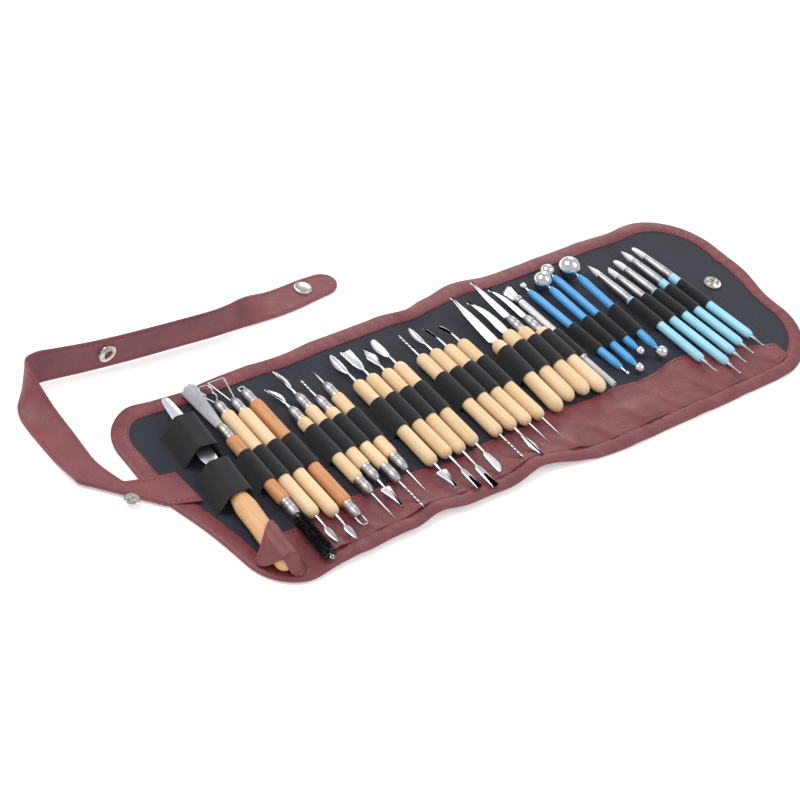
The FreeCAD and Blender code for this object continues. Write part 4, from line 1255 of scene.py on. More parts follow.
def tools() -> None:
    """Builds all thirty-one tools on their packed lines."""
    lines = {joint["child"]: read_line(joint) for joint in frame["joints"] if joint["type"] == "slide"}
    birch, beech = (Finish.BIRCH, "birch"), (Finish.BEECH, "beech")
    wire = Finish.WIRE
    doubles = {
        "ribbon_tool_round": (*birch, Tip(Form.SHOULDERED_LOOP, 11), Tip(Form.SPEAR, 6.5, Finish.STEEL)),
        "ribbon_tool_square": (*birch, Tip(Form.SQUARE_LOOP, 15), Tip(Form.SPEAR, 6.5, Finish.STEEL)),
        "mini_loop_tool": (*beech, Tip(Form.MINI_LOOP, 6.4, wire), Tip(Form.MINI_LOOP, 7, wire)),
        "sickle_needle_tool": (*birch, Tip(Form.SICKLE, 9), Tip(Form.NEEDLE)),
        "leaf_knife_tool": (*birch, Tip(Form.KNIFE, 6), Tip(Form.TRIANGLE, 9.6)),
        "twist_drill_ferruled": (*birch, Tip(Form.DRILL), Tip(Form.DRILL)),
        "needle_tool_ferruled": (*birch, Tip(Form.NEEDLE), Tip(Form.NEEDLE)),
        "leaf_spatula_tool": (*birch, Tip(Form.LEAF, 8), Tip(Form.TRIANGLE, 10.5)),
        "square_scraper_tool": (*birch, Tip(Form.SQUARE, 10), Tip(Form.GOUGE, 5, Finish.STEEL)),
        "diamond_tool": (*birch, Tip(Form.DIAMOND, 9.5), Tip(Form.GOUGE, 6, Finish.STEEL)),
        "cupped_scraper_tool": (*birch, Tip(Form.ROUND, 8.5), Tip(Form.SKEW, 6)),
        "twist_drill_tool": (*birch, Tip(Form.DRILL), Tip(Form.DRILL)),
        "spoon_spear_tool": (*birch, Tip(Form.LEAF, 6), Tip(Form.DIAMOND, 7)),
        "dental_pick_tool": (*birch, Tip(Form.PICK, 3.6, Finish.STEEL), Tip(Form.NEEDLE)),
        "hook_needle_tool": (*birch, Tip(Form.HOOK, 4, Finish.STEEL), Tip(Form.NEEDLE)),
    }
    for name, (wood, slot, upper, lower) in doubles.items():
        WoodenTool(lines[name], wood, slot, upper, lower).build()
    for name, form, width in (("straight_carving_knife", Form.CARVING, 10.8), ("curved_carving_knife", Form.BENT, 11),
                              ("ferruled_straight_knife", Form.CARVING, 8), ("ferruled_curved_knife", Form.BENT, 8)):
        CarvingKnife(lines[name], Tip(form, width, thickness=1.8)).build()
    CleaningBrush(lines["cleaning_brush"]).build()
    PaletteKnife(lines["palette_knife"]).build()
    TextureBrush(lines["wire_texture_brush"]).build()
    for name in ("smallest", "large", "medium", "largest"):
        BallStylus(lines[f"ball_stylus_{name}"]).build()
    for form in ShaperForm:
        Shaper(lines[form.value], form).build()


# ---------------------------------------------------------------- the case's cloth

SHEET_TOP = 1.8
SPINE = 232.0
FLOOR_GAP = 0.02


def bell(value: float, middle: float, reach: float) -> float:
    """A smooth hump of height 1.

    Args:
        value: where it is asked for.
        middle: where it is highest.
        reach: how wide it is.

    Returns:
        The hump's height there.
    """
    return math.exp(-((value - middle) / reach) ** 2)


def ease(value: float, start: float, end: float) -> float:
    """A smooth step.

    Args:
        value: where it is asked for.
        start: where it leaves 0.
        end: where it reaches 1.

    Returns:
        A share from 0 to 1.
    """
    share = min(1.0, max(0.0, (value - start) / (end - start)))
    return share * share * (3 - 2 * share)


# Where the sewn edge is pulled in, or pushed out, as middle, reach and depth along the edge.
FRONT_PULLS = [(-30, 34, 9.5), (-90, 26, 5.0), (-136, 24, 8.5), (-182, 26, 5.0), (-228, 30, 4.0), (60, 40, -2.4),
               (150, 60, -1.6)]
BACK_PULLS = [(-232, 20, 4.2), (-140, 24, 3.6), (-9, 13, 5.0), (50, 24, -6.0), (232, 20, 3.4), (-280, 14, -2.0)]
LEFT_PULLS = [(24, 40, -8.0)]
RIGHT_PULLS = [(-30, 22, -4.0), (10, 20, 2.4)]
BUCKLE = 0.62  # how far the cloth rises for each millimetre that its edge is pulled in


def drape(point: Vector) -> Vector:
    """Where a point of the flat pattern lies once the sewn edges have drawn the case into soft waves.

    Args:
        point: its place in the flat pattern.

    Returns:
        Its place on the wavy case.
    """
    x, y, z = point
    front, back = ease(-y, 66, 104), ease(y, 76, 100)
    left, right = ease(-x, 262, 305), ease(x, 270, 312)
    pull_front = sum(depth * bell(x, middle, reach) for middle, reach, depth in FRONT_PULLS)
    pull_back = sum(depth * bell(x, middle, reach) for middle, reach, depth in BACK_PULLS)
    push_left = sum(depth * bell(y, middle, reach) for middle, reach, depth in LEFT_PULLS)
    push_right = sum(depth * bell(y, middle, reach) for middle, reach, depth in RIGHT_PULLS)
    rise = BUCKLE * (front * max(0.0, pull_front) + 0.8 * back * max(0.0, pull_back))
    ripple = 0.9 * (front + 0.6 * back) * max(0.0, math.sin(x / 9.5 + math.sin(x / 31))) ** 2
    return Vector((x + left * push_left + right * push_right, y + front * pull_front - back * pull_back,
                   z + rise + ripple))


def case_edge() -> list[Vector]:
    """The case's outer edge, going round anticlockwise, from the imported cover.

    Returns:
        Points about 3 mm apart.
    """
    vertices = frame["nodes"]["outer_cover"].data.vertices
    corners = sorted({(round(v.co.x / MM, 2), round(v.co.y / MM, 2)) for v in vertices})
    hull: list[tuple[float, float]] = []
    for run in (corners, corners[::-1]):
        start = len(hull)
        for x, y in run:
            while len(hull) >= start + 2:
                (ax, ay), (bx, by) = hull[-2], hull[-1]
                if (bx - ax) * (y - ay) - (by - ay) * (x - ax) > 0:
                    break
                hull.pop()
            hull.append((x, y))
        hull.pop()
    points = [Vector((x, y, 0)) for x, y in hull]
    even: list[Vector] = []
    for near, far in zip(points, points[1:] + points[:1]):
        steps = max(1, round((far - near).length / 3.2))
        even += [near.lerp(far, step / steps) for step in range(steps)]
    return even


def inward(edge: Sequence[Vector]) -> list[Vector]:
    """The inward normal at each point of the edge.

    Args:
        edge: the points, going round anticlockwise.

    Returns:
        One normal for each point.
    """
    count = len(edge)
    normals = []
    for number in range(count):
        along = (edge[(number + 2) % count] - edge[number - 2]).normalized()
        normals.append(Vector((-along.y, along.x, 0)))
    return normals


def rings_mesh(rings: Sequence[Sequence[Vector]], closed_loop: bool = True) -> Mesh:
    """A skin through rings of the same number of points.

    Args:
        rings: the rings, in order.
        closed_loop: whether each ring's last point joins its first.

    Returns:
        The mesh.
    """
    points = [point for ring in rings for point in ring]
    count = len(rings[0])
    faces = []
    for level in range(len(rings) - 1):
        for step in range(count if closed_loop else count - 1):
            after = (step + 1) % count
            faces.append((level * count + step, level * count + after, (level + 1) * count + after,
                          (level + 1) * count + step))
    return points, faces


def thicken(obj: bpy.types.Object, thickness: float, offset: float = -1) -> None:
    """Gives a sheet its thickness.

    Args:
        obj: the sheet.
        thickness: its thickness in millimetres.
        offset: which side it grows to, where -1 is below its skin.
    """
    modifier = obj.modifiers.new("thickness", "SOLIDIFY")
    modifier.thickness, modifier.offset = thickness * MM, offset


def area_of(mesh: Mesh) -> float:
    """The area of a mesh's faces.

    Args:
        mesh: the mesh, in millimetres.

    Returns:
        The area in square metres.
    """
    points, faces = mesh
    total = 0.0
    for face in faces:
        start = points[face[0]]
        total += sum((points[a] - start).cross(points[b] - start).length / 2 for a, b in zip(face[1:], face[2:]))
    return total * MM * MM


def stitches(path: Sequence[Vector], length: float = 2.9, gap: float = 1.3, radius: float = 0.3) -> Mesh:
    """A row of lockstitches along a path.

    Args:
        path: where the seam runs, on the cloth's face.
        length: a stitch's length.
        gap: the hidden length between two stitches.
        radius: the thread's radius.

    Returns:
        The mesh of the whole seam.
    """
    reached = [0.0]
    for near, far in zip(path, path[1:]):
        reached.append(reached[-1] + (far - near).length)

    def spot(distance: float) -> Vector:
        """The point of the path at a distance from its start."""
        number = min(max(1, bisect.bisect_left(reached, distance)), len(path) - 1)
        span = max(1e-9, reached[number] - reached[number - 1])
        return path[number - 1].lerp(path[number], (distance - reached[number - 1]) / span)

    meshes = []
    for number in range(int(reached[-1] / (length + gap))):
        begin = number * (length + gap)
        points = [spot(begin + length * share) for share in (0, 0.25, 0.5, 0.75, 1)]
        meshes.append(sweep(points, lambda share: radius * (0.55 + 0.45 * math.sin(math.pi * share)), 6))
    return joined(meshes)


@dataclass
class Case:
    """The roll's layers: the leatherette cover, its twill lining, the bound edge and the front pocket."""

    width: float = 13.0
    seam: float = 11.4
    mouth: float = -53.0
    pocket_ends: tuple[float, float] = (-292.0, 266.0)
    bump_flank: tuple[float, float] = (-271.0, -257.0)  # left of it the pocket laps over the bound edge

    def __post_init__(self) -> None:
        """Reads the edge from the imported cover."""
        self.edge = case_edge()
        self.normals = inward(self.edge)

    def ring(self, inset: float, level: float) -> list[Vector]:
        """The edge moved inwards and raised, in the flat pattern."""
        return [point + normal * inset + Vector((0, 0, level)) for point, normal in zip(self.edge, self.normals)]

    def sheet(self, name: str, level: float, thickness: float, finish: Finish, slot: str) -> bpy.types.Object:
        """One of the two full sheets.

        Args:
            name: the node it stands for, which the piece's name starts with.
            level: the height of its upper face.
            thickness: its thickness.
            finish: its finish.
            slot: the record's material slot; not used.

        Returns:
            The object.
        """
        rim = self.ring(16, level)
        spines = [Vector((max(-SPINE, min(SPINE, point.x)), 0, level)) for point in rim]
        rings = [self.ring(inset, level) for inset in (0.6, 4, 8, 12, 16)]
        for step in range(1, 15):
            share = step / 14
            rings.append([point.lerp(spine, share) for point, spine in zip(rim, spines)])
        flat = rings_mesh(rings)
        draped = ([drape(point) for point in flat[0]], flat[1])
        made = piece(f"{name}_sheet", draped, finish, "case", replaced=[name])
        thicken(made, thickness)
        return made

    def binding(self) -> bpy.types.Object:
        """The folded strip that wraps the edge, with its seam drawn down and its middle puffed up."""
        section = [(self.width, 1.9), (self.width - 0.3, 2.75), (self.width - 1.6, 2.72), (self.width - 3.4, 3.1),
                   (6.5, 3.35), (2.6, 3.2), (0.4, 2.75), (-0.8, 1.9), (-1.1, 1.3), (-0.7, 0.5), (0.6, 0.08),
                   (4.0, FLOOR_GAP), (10.5, FLOOR_GAP)]
        rings = []
        for inset, level in section:
            ring = self.ring(inset, level)
            rings.append([Vector((p.x, p.y, p.z + (0.22 * math.sin(k * 1.9) * ease(level, 2.4, 3.2)))) for k, p in
                          enumerate(ring)])
        flat = rings_mesh(rings)
        return piece("bound_edge", ([drape(p) for p in flat[0]], flat[1]), Finish.LEATHERETTE, "case",
                     replaced=["edge_binding"], crease=70)

    def low_edge(self, x: float, inset: float) -> float:
        """The front edge's y at x, at an inset."""
        ring = self.ring(inset, 0)
        crossing = [a.y + (b.y - a.y) * (x - a.x) / (b.x - a.x) for a, b in zip(ring, ring[1:] + ring[:1])
                    if (a.x - x) * (b.x - x) <= 0 and abs(b.x - a.x) > 1e-9]
        return min(crossing)

    def mouth_at(self, x: float) -> float:
        """The y of the pocket's mouth at x: it dips at both ends and waves a little between."""
        start, end = self.pocket_ends
        wave = 2.6 * math.sin(x / 30 + 1.0) + 1.6 * math.sin(x / 11.5)
        return self.mouth + wave - 22 * ease(x, 172, end) - 13 * (1 - ease(x, start, start + 24))

    def pocket(self, knife: Line) -> tuple[bpy.types.Object, list[Vector], float]:
        """The pocket with the bump over the palette knife's handle.

        Args:
            knife: the palette knife's line.

        Returns:
            The object, the path of its mouth's seam, and its flat area in square metres.
        """
        start, end = self.pocket_ends
        base, clearance, rows = SHEET_TOP + 1.02, 1.5, 30
        inverse = knife.matrix.inverted()
        across = int((end - start) / 2)
        flat_points: list[Vector] = []
        lifted: list[list[Vector]] = []
        seam: list[Vector] = []

        def raised(x: float, y: float) -> Vector:
            """The pocket's upper face over a point of the flat pattern."""
            local = inverse @ Vector((x, y, knife.matrix.translation.z))
            skirt, top = knife.radius + clearance + 5.5, knife.radius + clearance
            reach = abs(local.x)
            arch = math.sqrt(max(0.0, top * top - reach * reach)) if reach < top * 0.8 else \
                top * 0.6 * (1 - (reach - top * 0.8) / (skirt - top * 0.8)) - \
                (knife.matrix.translation.z - base) * (reach - top * 0.8) / (skirt - top * 0.8)
            height = max(0.0, knife.matrix.translation.z + arch - base) if reach < skirt else 0.0
            height *= 1 - ease(-local.y, -knife.foot - 3.5, -knife.foot + 5)
            lap = 0.8 * (1 - ease(x, *self.bump_flank))
            pleat = ease(-y, 66, 84) * (1 - ease(-y, 92, 102))
            folds = 2.0 * pleat * max(0.0, math.sin(x / 13 + math.sin(x / 37))) ** 2
            folds += 1.1 * pleat * max(0.0, math.sin(x / 6.3 + y / 15)) ** 3
            return drape(Vector((x, y, base + lap + max(height, folds))))

        for column in range(across + 1):
            x = start + (end - start) * column / across
            inset = 2.5 + (self.width - 4.5) * ease(x, *self.bump_flank)
            low, high = self.low_edge(x, inset), self.mouth_at(x)
            high = max(high, low + 2)
            strip = []
            for row in range(rows + 1):
                y = low + (high - low) * row / rows
                strip.append(raised(x, y))
                flat_points.append(Vector((x, y, 0)))
            lifted.append(strip)
            place = raised(x, high - 2.6)
            seam.append(place + Vector((0, 0, 0.1)))
        mesh = rings_mesh(lifted, closed_loop=False)
        made = piece("front_pocket", mesh, Finish.LEATHERETTE, "case",
                     replaced=["tip_pocket"], crease=60)
        thicken(made, 0.95)
        return made, seam, area_of((flat_points, mesh[1]))

    def build(self, knife: Line) -> None:
        """Makes the layers and their seams."""
        cover = self.sheet("outer_cover", 1.0, 0.95, Finish.LEATHERETTE, "leatherette")
        lining = self.sheet("lining", SHEET_TOP, 0.75, Finish.TWILL, "lining_twill")
        bound = self.binding()
        pocket, mouth_seam, pocket_area = self.pocket(knife)
        level = 2.82
        path = [drape(p) for p in self.ring(self.seam, level)]
        border = piece("binding_seam", stitches([*path, path[0]]), Finish.THREAD, "case")
        hem = piece("pocket_seam", stitches(mouth_seam), Finish.THREAD, "case")


# ---------------------------------------------------------------- elastics


@dataclass
class ToolElastic:
    """The ribbed elastic that is sewn down between the tools and arches over each of them."""

    width: float = 33.0
    thickness: float = 0.8
    clearance: float = 0.3
    rib: float = 1.32
    floor: float = SHEET_TOP + 0.62

    def arch(self, line: Line, station: float, swell: float) -> list[Vector]:
        """The elastic's outer face over one tool, at a station along it."""
        steps, reach = 14, line.radius + self.clearance + self.thickness + swell
        angles = [math.pi * (1.12 - 1.24 * step / steps) for step in range(steps + 1)]
        return [line.matrix @ Vector((reach * math.cos(a), station, reach * math.sin(a))) for a in angles]

    def row(self, lines: Sequence[Line], station: float, swell: float) -> list[Vector]:
        """One thread of the elastic from its left end to its right end."""
        floor, points = self.floor + swell, []
        for line in lines:
            over = self.arch(line, station, swell)
            if points:
                near, far = points[-1], over[0]
                half, middle = (far.x - near.x) / 2, near.lerp(far, 0.5)
                foot = half - 0.7 if half > 3 else max(0.12, half * 0.5)
                points += [Vector((middle.x + foot * share, middle.y, floor)) for share in (-1, -0.5, 0, 0.5, 1)]
            else:
                points += [Vector((over[0].x - side, over[0].y, floor)) for side in (4.0, 0.5)]
            points += over
        points += [Vector((points[-1].x + side, points[-1].y, floor)) for side in (0.5, 4.0)]
        return points

    def build(self, lines: Sequence[Line]) -> None:
        """Makes the elastic and the seams that hold it down between the groups of tools.

        Args:
            lines: the tools that it holds, from left to right.
        """
        per_rib = 4
        count = round(self.width / self.rib) * per_rib
        rows = []
        for step in range(count + 1):
            station = self.width * (step / count - 0.5)
            swell = 0.16 * abs(math.sin(math.pi * station / self.rib)) - 0.16
            rows.append(self.row(lines, station, swell))
        made = piece("ribbed_elastic", rings_mesh(rows, closed_loop=False), Finish.ELASTIC, "case",
                     replaced=["tool_elastic"], crease=75)
        thicken(made, self.thickness * 0.9)
        seams = []
        for near, far in zip(lines, lines[1:]):
            if far.matrix.translation.x - near.matrix.translation.x > 17:
                middle = near.matrix.translation.lerp(far.matrix.translation, 0.5)
                for side in (-1.6, 1.6):
                    seams.append(stitches([Vector((middle.x + side, middle.y + station, self.floor + 0.05))
                                           for station in (-15.5, -8, 0, 8, 15.5)], 2.4, 1.1, 0.22))
        piece("elastic_seams", joined(seams), Finish.BLACK_THREAD, "case")


@dataclass
class WideElastic:
    """One of the two wide elastics that make a tent over the palette knife."""

    node: str
    centre: float
    width: float = 35.0
    span: float = 18.0
    height: float = 21.5

    def build(self, knife: Line) -> None:
        """Makes the elastic and the stitches at its feet.

        Args:
            knife: the palette knife's line.
        """
        low, level = SHEET_TOP + 0.75, knife.matrix.translation.z
        section = [(-self.span, low), (-self.span + 2, low + 0.1), (-14.4, 6.5), (-11.4, 13.5), (-9.6, 18.6),
                   (-7, self.height - 0.4), (0, self.height), (7, self.height - 0.4), (9.6, 18.6), (11.4, 13.5),
                   (14.4, 6.5), (self.span - 2, low + 0.1), (self.span, low)]
        path = smooth_path([Vector((x, 0, z)) for x, z in section], 4)
        count = round(self.width / 1.32) * 4
        rows = []
        for step in range(count + 1):
            share = step / count - 0.5
            station = self.centre + self.width * share
            swell = 0.15 * abs(math.sin(math.pi * (station - self.centre) / 1.32)) - 0.15
            slack = 0.5 * math.cos(math.pi * share) ** 2
            row = []
            for point in path:
                lifted = (point.z - low) / (self.height - low)
                local = Vector((point.x * (1 - 0.05 * lifted * slack), station, 0))
                spot = knife.matrix @ local
                row.append(Vector((spot.x, spot.y, max(low, point.z + swell - 0.25 * slack * lifted))))
            rows.append(row)
        made = piece(f"{self.node}_band", rings_mesh(rows, closed_loop=False), Finish.ELASTIC, "case",
                     replaced=[self.node], crease=75)
        thicken(made, 0.7)
        seams = []
        for side in (-1, 1):
            ends = [knife.matrix @ Vector((side * (self.span - 0.9), self.centre + self.width * share, 0))
                    for share in (-0.46, 0, 0.46)]
            seams.append(stitches([Vector((p.x, p.y, low + 0.1)) for p in ends], 2.4, 1.1, 0.24))
        piece(f"{self.node}_stitches", joined(seams), Finish.BLACK_THREAD, "case")


# ---------------------------------------------------------------- strap and press studs


@dataclass
class Strap:
    """The tie strap: one leatherette ribbon, folded at the case's edge and turned on edge at its corner."""

    thickness: float = 2.0
    steps: int = 7
    # stations along the ribbon: its inner edge and its outer edge
    course: Sequence[tuple[Point, Point]] = (
        ((-289.5, -3, 4.1), (-291, 30.5, 4.1)),
        ((-298, -0.6, 4.3), (-303, 33, 4.3)),
        ((-306, 2.4, 4.0), (-318, 37, 3.6)),
        ((-311, 5.0, 2.4), (-338, 46, 1.6)),
        ((-313, 6.4, 1.6), (-354, 54, 1.3)),
        ((-314.6, 8.0, 3.1), (-359.5, 56, 2.6)),
        ((-316, 11, 4.4), (-360.6, 58.5, 4.2)),
        ((-325, 28, 4.5), (-361.4, 64, 4.2)),
        ((-331.5, 45, 4.1), (-361.8, 70, 3.6)),
        ((-335, 66, 2.6), (-361.8, 80, 2.0)),
        ((-333.6, 84, 1.5), (-361.6, 92, 1.2)),
        ((-332.4, 100, 1.9), (-361.4, 106, 1.1)),
        ((-333.2, 113, 4.6), (-361, 119, 1.1)),
        ((-335.6, 126, 10.5), (-359.6, 131, 1.1)),
        ((-338.6, 141, 20), (-355, 142, 1.1)),
        ((-341, 153, 28.2), (-347, 150.5, 1.1)),
        ((-338.5, 161.5, 29.4), (-339, 156.6, 1.1)),
        ((-327, 164, 29.4), (-327, 158.8, 0.9)),
        ((-312, 161, 29.4), (-312, 157.4, 0.9)),
        ((-290, 156.6, 29.4), (-290, 154.3, 0.9)),
        ((-268, 153.2, 29.4), (-268, 151.8, 0.9)),
        ((-241, 150.2, 29.4), (-241, 149, 0.9)),
        ((-209, 147.4, 29.2), (-209, 146.6, 0.9)),
        ((-178, 145.6, 28.6), (-178, 144, 0.9)),
        ((-160, 147.6, 27), (-160, 143, 0.9)),
        ((-142, 154, 22), (-143, 142, 1.0)),
        ((-124, 162, 12.5), (-126, 141, 1.1)),
        ((-104, 167.6, 3.4), (-107, 140.4, 1.2)),
        ((-86, 169, 1.6), (-88, 141, 1.3)),
        ((-66, 170, 1.4), (-68, 143, 1.4)),
        ((-52, 169.4, 1.5), (-53, 144.4, 1.4)),
    )
    split: int = 11
    tip: float = 15.0

    def stations(self) -> tuple[list[Vector], list[Vector]]:
        """The ribbon's two edges as smooth curves, with the rounded tip at the end."""
        inner = smooth_path([Vector(near) for near, _ in self.course], self.steps)
        outer = smooth_path([Vector(far) for _, far in self.course], self.steps)
        near, far = inner[-1], outer[-1]
        middle, half = near.lerp(far, 0.5), (near - far) / 2
        along = (inner[-1] - inner[-3] + outer[-1] - outer[-3]).normalized()
        for step in range(1, 12):
            angle = math.pi / 2 * step / 11.4
            inner.append(middle + half * math.cos(angle) + along * self.tip * math.sin(angle))
            outer.append(middle - half * math.cos(angle) + along * self.tip * math.sin(angle))
        return inner, outer

    def sections(self) -> tuple[list[list[Vector]], list[list[Vector]]]:
        """The ribbon's closed cross-sections, and where its two seams run on both of its faces."""
        inner, outer = self.stations()
        half = self.thickness / 2
        profile = [(0.0, 0.0), (0.012, 0.75), (0.05, 1.0), (0.1, 0.8), (0.3, 0.92), (0.5, 0.96), (0.7, 0.92),
                   (0.9, 0.8), (0.95, 1.0), (0.988, 0.75), (1.0, 0.0)]
        outline = [*profile, *[(share, -level) for share, level in reversed(profile[1:-1])]]
        rings, seams = [], [[], [], [], []]
        before = None
        for number, (near, far) in enumerate(zip(inner, outer)):
            low, high = max(0, number - 1), min(len(inner) - 1, number + 1)
            along = ((inner[high] - inner[low]) + (outer[high] - outer[low])).normalized()
            across = far - near
            normal = across.cross(along).normalized()
            if before is not None and normal.dot(before) < -0.2:
                normal = -normal
            before = normal
            rings.append([near + across * share + normal * (half * level) for share, level in outline])
            for seam, (share, side) in zip(seams, ((0.1, 1), (0.9, 1), (0.1, -1), (0.9, -1))):
                seam.append(near + across * share + normal * (half * 0.86 * side))
        return rings, seams

    def build(self) -> None:
        """Makes the ribbon in two lengths, with the seams along each."""
        rings, seams = self.sections()
        cut = self.split * self.steps
        self.check_floor(rings)
        lengths = (("strap_fold", 0, cut + 1, ["strap_root", "strap_run"], ("case", "strap_run"),
                    (-0.347, 0.049, 0.002), (-0.347, 0.066, 0.002)),
                   ("strap_tail", cut, len(rings), ["strap_end"], ("strap_run", "strap_end"),
                    (-0.346, 0.147, 0.0), (-0.326, 0.161, 0.0)))
        for name, first, last, nodes, bodies, start, end in lengths:
            mesh = rings_mesh(rings[first:last])
            count = len(rings[0])
            caps = [tuple(range(count)), tuple(range((last - first - 1) * count, (last - first) * count))]
            # The ribbon's leatherette carries a painted highlight: it is lighter and pinker than the case's cover.
            ribbon = piece(name, (mesh[0], [*mesh[1], *caps]), Finish.STRAP_BACK, "",
                           replaced=nodes, crease=75)
            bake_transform(ribbon)
            threads = joined([stitches(seam[first:last], radius=0.27) for seam in seams])
            thread = piece(f"{name}_seams", threads, Finish.THREAD, "")
            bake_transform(thread)

    def check_floor(self, rings: Sequence[Sequence[Vector]]) -> None:
        """Keeps every point of the ribbon above the table."""
        for ring in rings:
            for point in ring:
                point.z = max(point.z, FLOOR_GAP)


SOCKET_BORE = 3.4
POST_CIRCLE = 2.4
STUD_BODIES = {"strap_cap": "strap_end", "lining_stud": "case", "fold_stud": "case",
               "strap_socket": "strap_end"}


def stud_ring(radius: float, height: float, bore: float) -> Mesh:
    """A press stud's socket: a rolled rim, a dished face and a bore with its spring.

    Args:
        radius: the rim's radius.
        height: how far it stands up from its seat.
        bore: the radius of the hole.

    Returns:
        The mesh.
    """
    profile = [(0.0, 0.5), (bore * 0.55, 0.5), (bore * 0.6, 1.3), (bore, 1.4), (bore + 0.1, height * 0.86),
               (bore + 0.5, height), (bore + 1.0, height * 0.92), (radius * 0.74, height * 0.62),
               (radius * 0.82, height * 0.66), (radius * 0.93, height * 0.72), (radius, height * 0.45),
               (radius * 0.98, height * 0.12), (radius * 0.9, 0.0), (0.0, 0.0)]
    return lathe(profile, 48)


def stud_cap(radius: float, height: float) -> Mesh:
    """A press stud's cap: a shallow dome with a rolled rim.

    Args:
        radius: the rim's radius.
        height: how far the dome stands up from its seat.

    Returns:
        The mesh.
    """
    dome = [(radius * 0.86 * math.sin(math.pi / 2 * k / 9), height * (0.62 + 0.38 * math.cos(math.pi / 2 * k / 9)))
            for k in range(10)]
    return lathe([*dome, (radius * 0.93, height * 0.66), (radius, height * 0.4), (radius * 0.97, height * 0.1),
                  (radius * 0.9, 0.0), (0.0, 0.0)], 48)


def stud_posts(radius: float, height: float) -> Mesh:
    """The base plate of the stud under the fold, with its three posts.

    Args:
        radius: the plate's radius.
        height: the posts' height.

    Returns:
        The mesh.
    """
    post = lathe([(0.0, 0.8), (1.0, 0.8), (0.9, height - 0.6), (1.2, height - 0.3), (0.8, height),
                  (0, height)], 16)
    plate_ring = lathe([(0, 0), (radius, 0), (radius, 0.5), (radius - 0.5, 0.9), (0, 0.9)], 40)
    places = [Matrix.Translation((POST_CIRCLE * math.cos(a), 0, POST_CIRCLE * math.sin(a)))
              for a in (math.pi / 2, math.pi * 7 / 6, math.pi * 11 / 6)]
    return joined([plate_ring, *(moved(post, place) for place in places)])


def press_studs() -> None:
    """The four visible halves of the two press studs."""
    upright, sideways = Matrix.Rotation(math.pi / 2, 4, "X"), Matrix.Rotation(math.pi, 4, "Z")
    for node, body in STUD_BODIES.items():
        low, high = (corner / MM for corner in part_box(node))
        middle, radius = (low + high) / 2, (high.x - low.x) / 2
        on_edge = node == "strap_socket"
        thick = high.y - low.y if on_edge else high.z - low.z
        seat = Vector((middle.x, high.y, middle.z)) if on_edge else Vector((middle.x, middle.y, low.z))
        matrix = Matrix.Translation(seat) @ (sideways if on_edge else upright)
        if node == "fold_stud":
            mesh = stud_posts(radius, thick)
        elif node == "strap_cap":
            mesh = stud_cap(radius, thick)
        else:
            mesh = stud_ring(radius, thick, SOCKET_BORE)
        piece(f"{node}_press", mesh, Finish.NICKEL, body, matrix, [node], 35)


def case() -> None:
    """Builds the case, its elastics, its strap and its press studs."""
    lines = [read_line(joint) for joint in frame["joints"] if joint["type"] == "slide"]
    knife = next(line for line in lines if line.name == "palette_knife")
    held = sorted((line for line in lines if line is not knife), key=lambda line: line.matrix.translation.x)
    Case().build(knife)
    ToolElastic().build(held)
    WideElastic("knife_elastic_upper", 47.5).build(knife)
    WideElastic("knife_elastic_lower", -3.0).build(knife)
    Strap().build()
    press_studs()


# ---------------------------------------------------------------- studio


@dataclass(frozen=True)
class Camera:
    """The view of the open case, from the left and in front of it."""

    place: Point = (-1111.44, -834.16, 1146.28)
    lens: float = 100.755
    bearing: float = 50.4254
    dip: float = 40.5959
    roll: float = 16.2545

    def build(self) -> None:
        """Makes the scene's camera."""
        bearing, dip, roll = (math.radians(angle) for angle in (self.bearing, self.dip, self.roll))
        forward = Vector((math.sin(bearing) * math.cos(dip), math.cos(bearing) * math.cos(dip), -math.sin(dip)))
        right = Vector((math.cos(bearing), -math.sin(bearing), 0))
        up = right.cross(forward)
        across = right * math.cos(roll) + up * math.sin(roll)
        above = up * math.cos(roll) - right * math.sin(roll)
        data = bpy.data.cameras.new("camera")
        data.lens, data.sensor_width, data.clip_end = self.lens, 36, 20
        camera = bpy.data.objects.new("camera", data)
        matrix = Matrix((across, above, -forward)).transposed().to_4x4()
        matrix.translation = Vector(self.place) * MM
        camera.matrix_world = matrix
        bpy.context.scene.collection.objects.link(camera)
        bpy.context.scene.camera = camera


def softbox(name: str, place: Point, size: float, power: float) -> None:
    """An area lamp that points at the case.

    Args:
        name: the lamp's name.
        place: where it hangs, in metres.
        size: its width in metres.
        power: its power in watts.
    """
    data = bpy.data.lights.new(name, "AREA")
    data.size, data.energy = size, power
    lamp = bpy.data.objects.new(name, data)
    lamp.location = place
    lamp.rotation_euler = Vector(place).to_track_quat("Z", "Y").to_euler()
    bpy.context.scene.collection.objects.link(lamp)


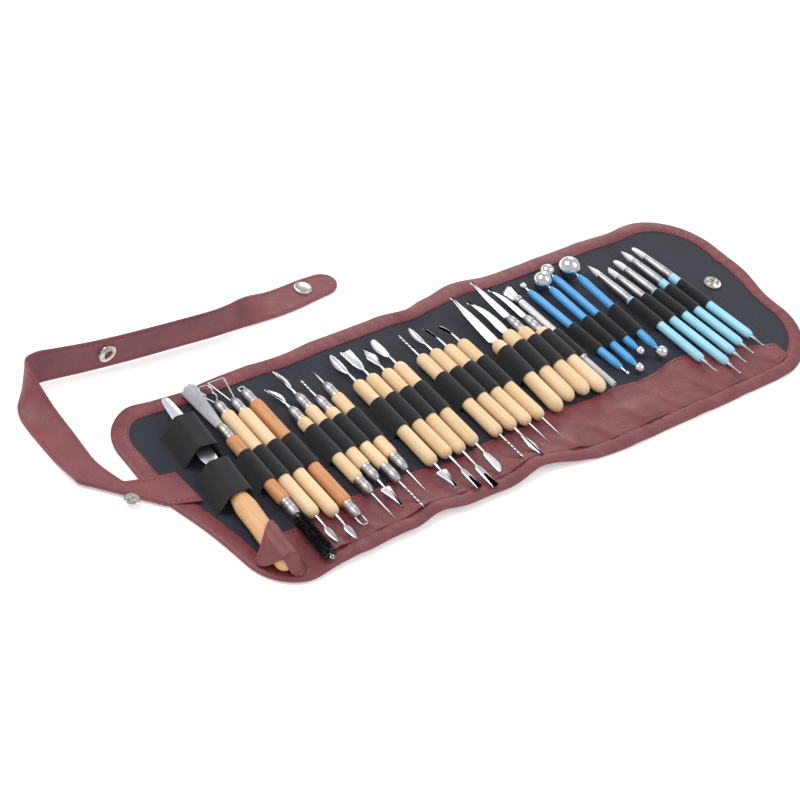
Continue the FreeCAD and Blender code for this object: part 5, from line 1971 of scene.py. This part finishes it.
def white_floor() -> None:
    """A white sweep that shows as plain white and keeps the case's own shadow."""
    material, tree = blank("white sweep")
    sheet = add(tree, "ShaderNodeBsdfDiffuse", {"Color": linear("fbfbfb")})
    glow = add(tree, "ShaderNodeEmission", {"Color": linear("ffffff"), "Strength": 0.32})
    both = add(tree, "ShaderNodeAddShader", {0: sheet.outputs[0], 1: glow.outputs[0]})
    add(tree, "ShaderNodeOutputMaterial", {"Surface": both.outputs[0]})
    reach, depth = 12.0, -0.0005
    data = bpy.data.meshes.new("floor")
    corners = [(x * reach, y * reach, depth) for x, y in ((-1, -1), (1, -1), (1, 1), (-1, 1))]
    data.from_pydata(corners, [], [(0, 1, 2, 3)])
    data.materials.append(material)
    floor = bpy.data.objects.new("floor", data)
    bpy.context.scene.collection.objects.link(floor)


def studio() -> None:
    """The camera, the lamps, the floor and the white surroundings."""
    Camera().build()
    white_floor()
    softbox("key", (-0.9, 1.0, 1.9), 1.3, 26)
    softbox("fill", (1.2, -1.0, 1.8), 1.6, 12)
    softbox("rim", (1.4, 1.3, 0.9), 0.8, 7)
    world = bpy.data.worlds.new("studio")
    world.use_nodes = True
    tree = world.node_tree
    tree.nodes.clear()
    rays = add(tree, "ShaderNodeLightPath")
    seen = add(tree, "ShaderNodeMath", {0: rays.outputs["Is Camera Ray"], 1: rays.outputs["Is Transmission Ray"]},
               operation="MAXIMUM")
    dim = add(tree, "ShaderNodeBackground", {"Color": linear("ffffff"), "Strength": 0.62})
    white = add(tree, "ShaderNodeBackground", {"Color": linear("ffffff"), "Strength": 1.0})
    mixed = add(tree, "ShaderNodeMixShader", {0: seen.outputs[0], 1: dim.outputs[0], 2: white.outputs[0]})
    add(tree, "ShaderNodeOutputWorld", {"Surface": mixed.outputs[0]})
    bpy.context.scene.world = world
    bpy.context.scene.view_settings.view_transform = "Standard"


def main() -> None:
    """Builds the whole scene."""
    logging.basicConfig(level=logging.INFO, format="%(name)s: %(message)s")
    tools()
    case()
    studio()


if __name__ == "__main__":
    main()
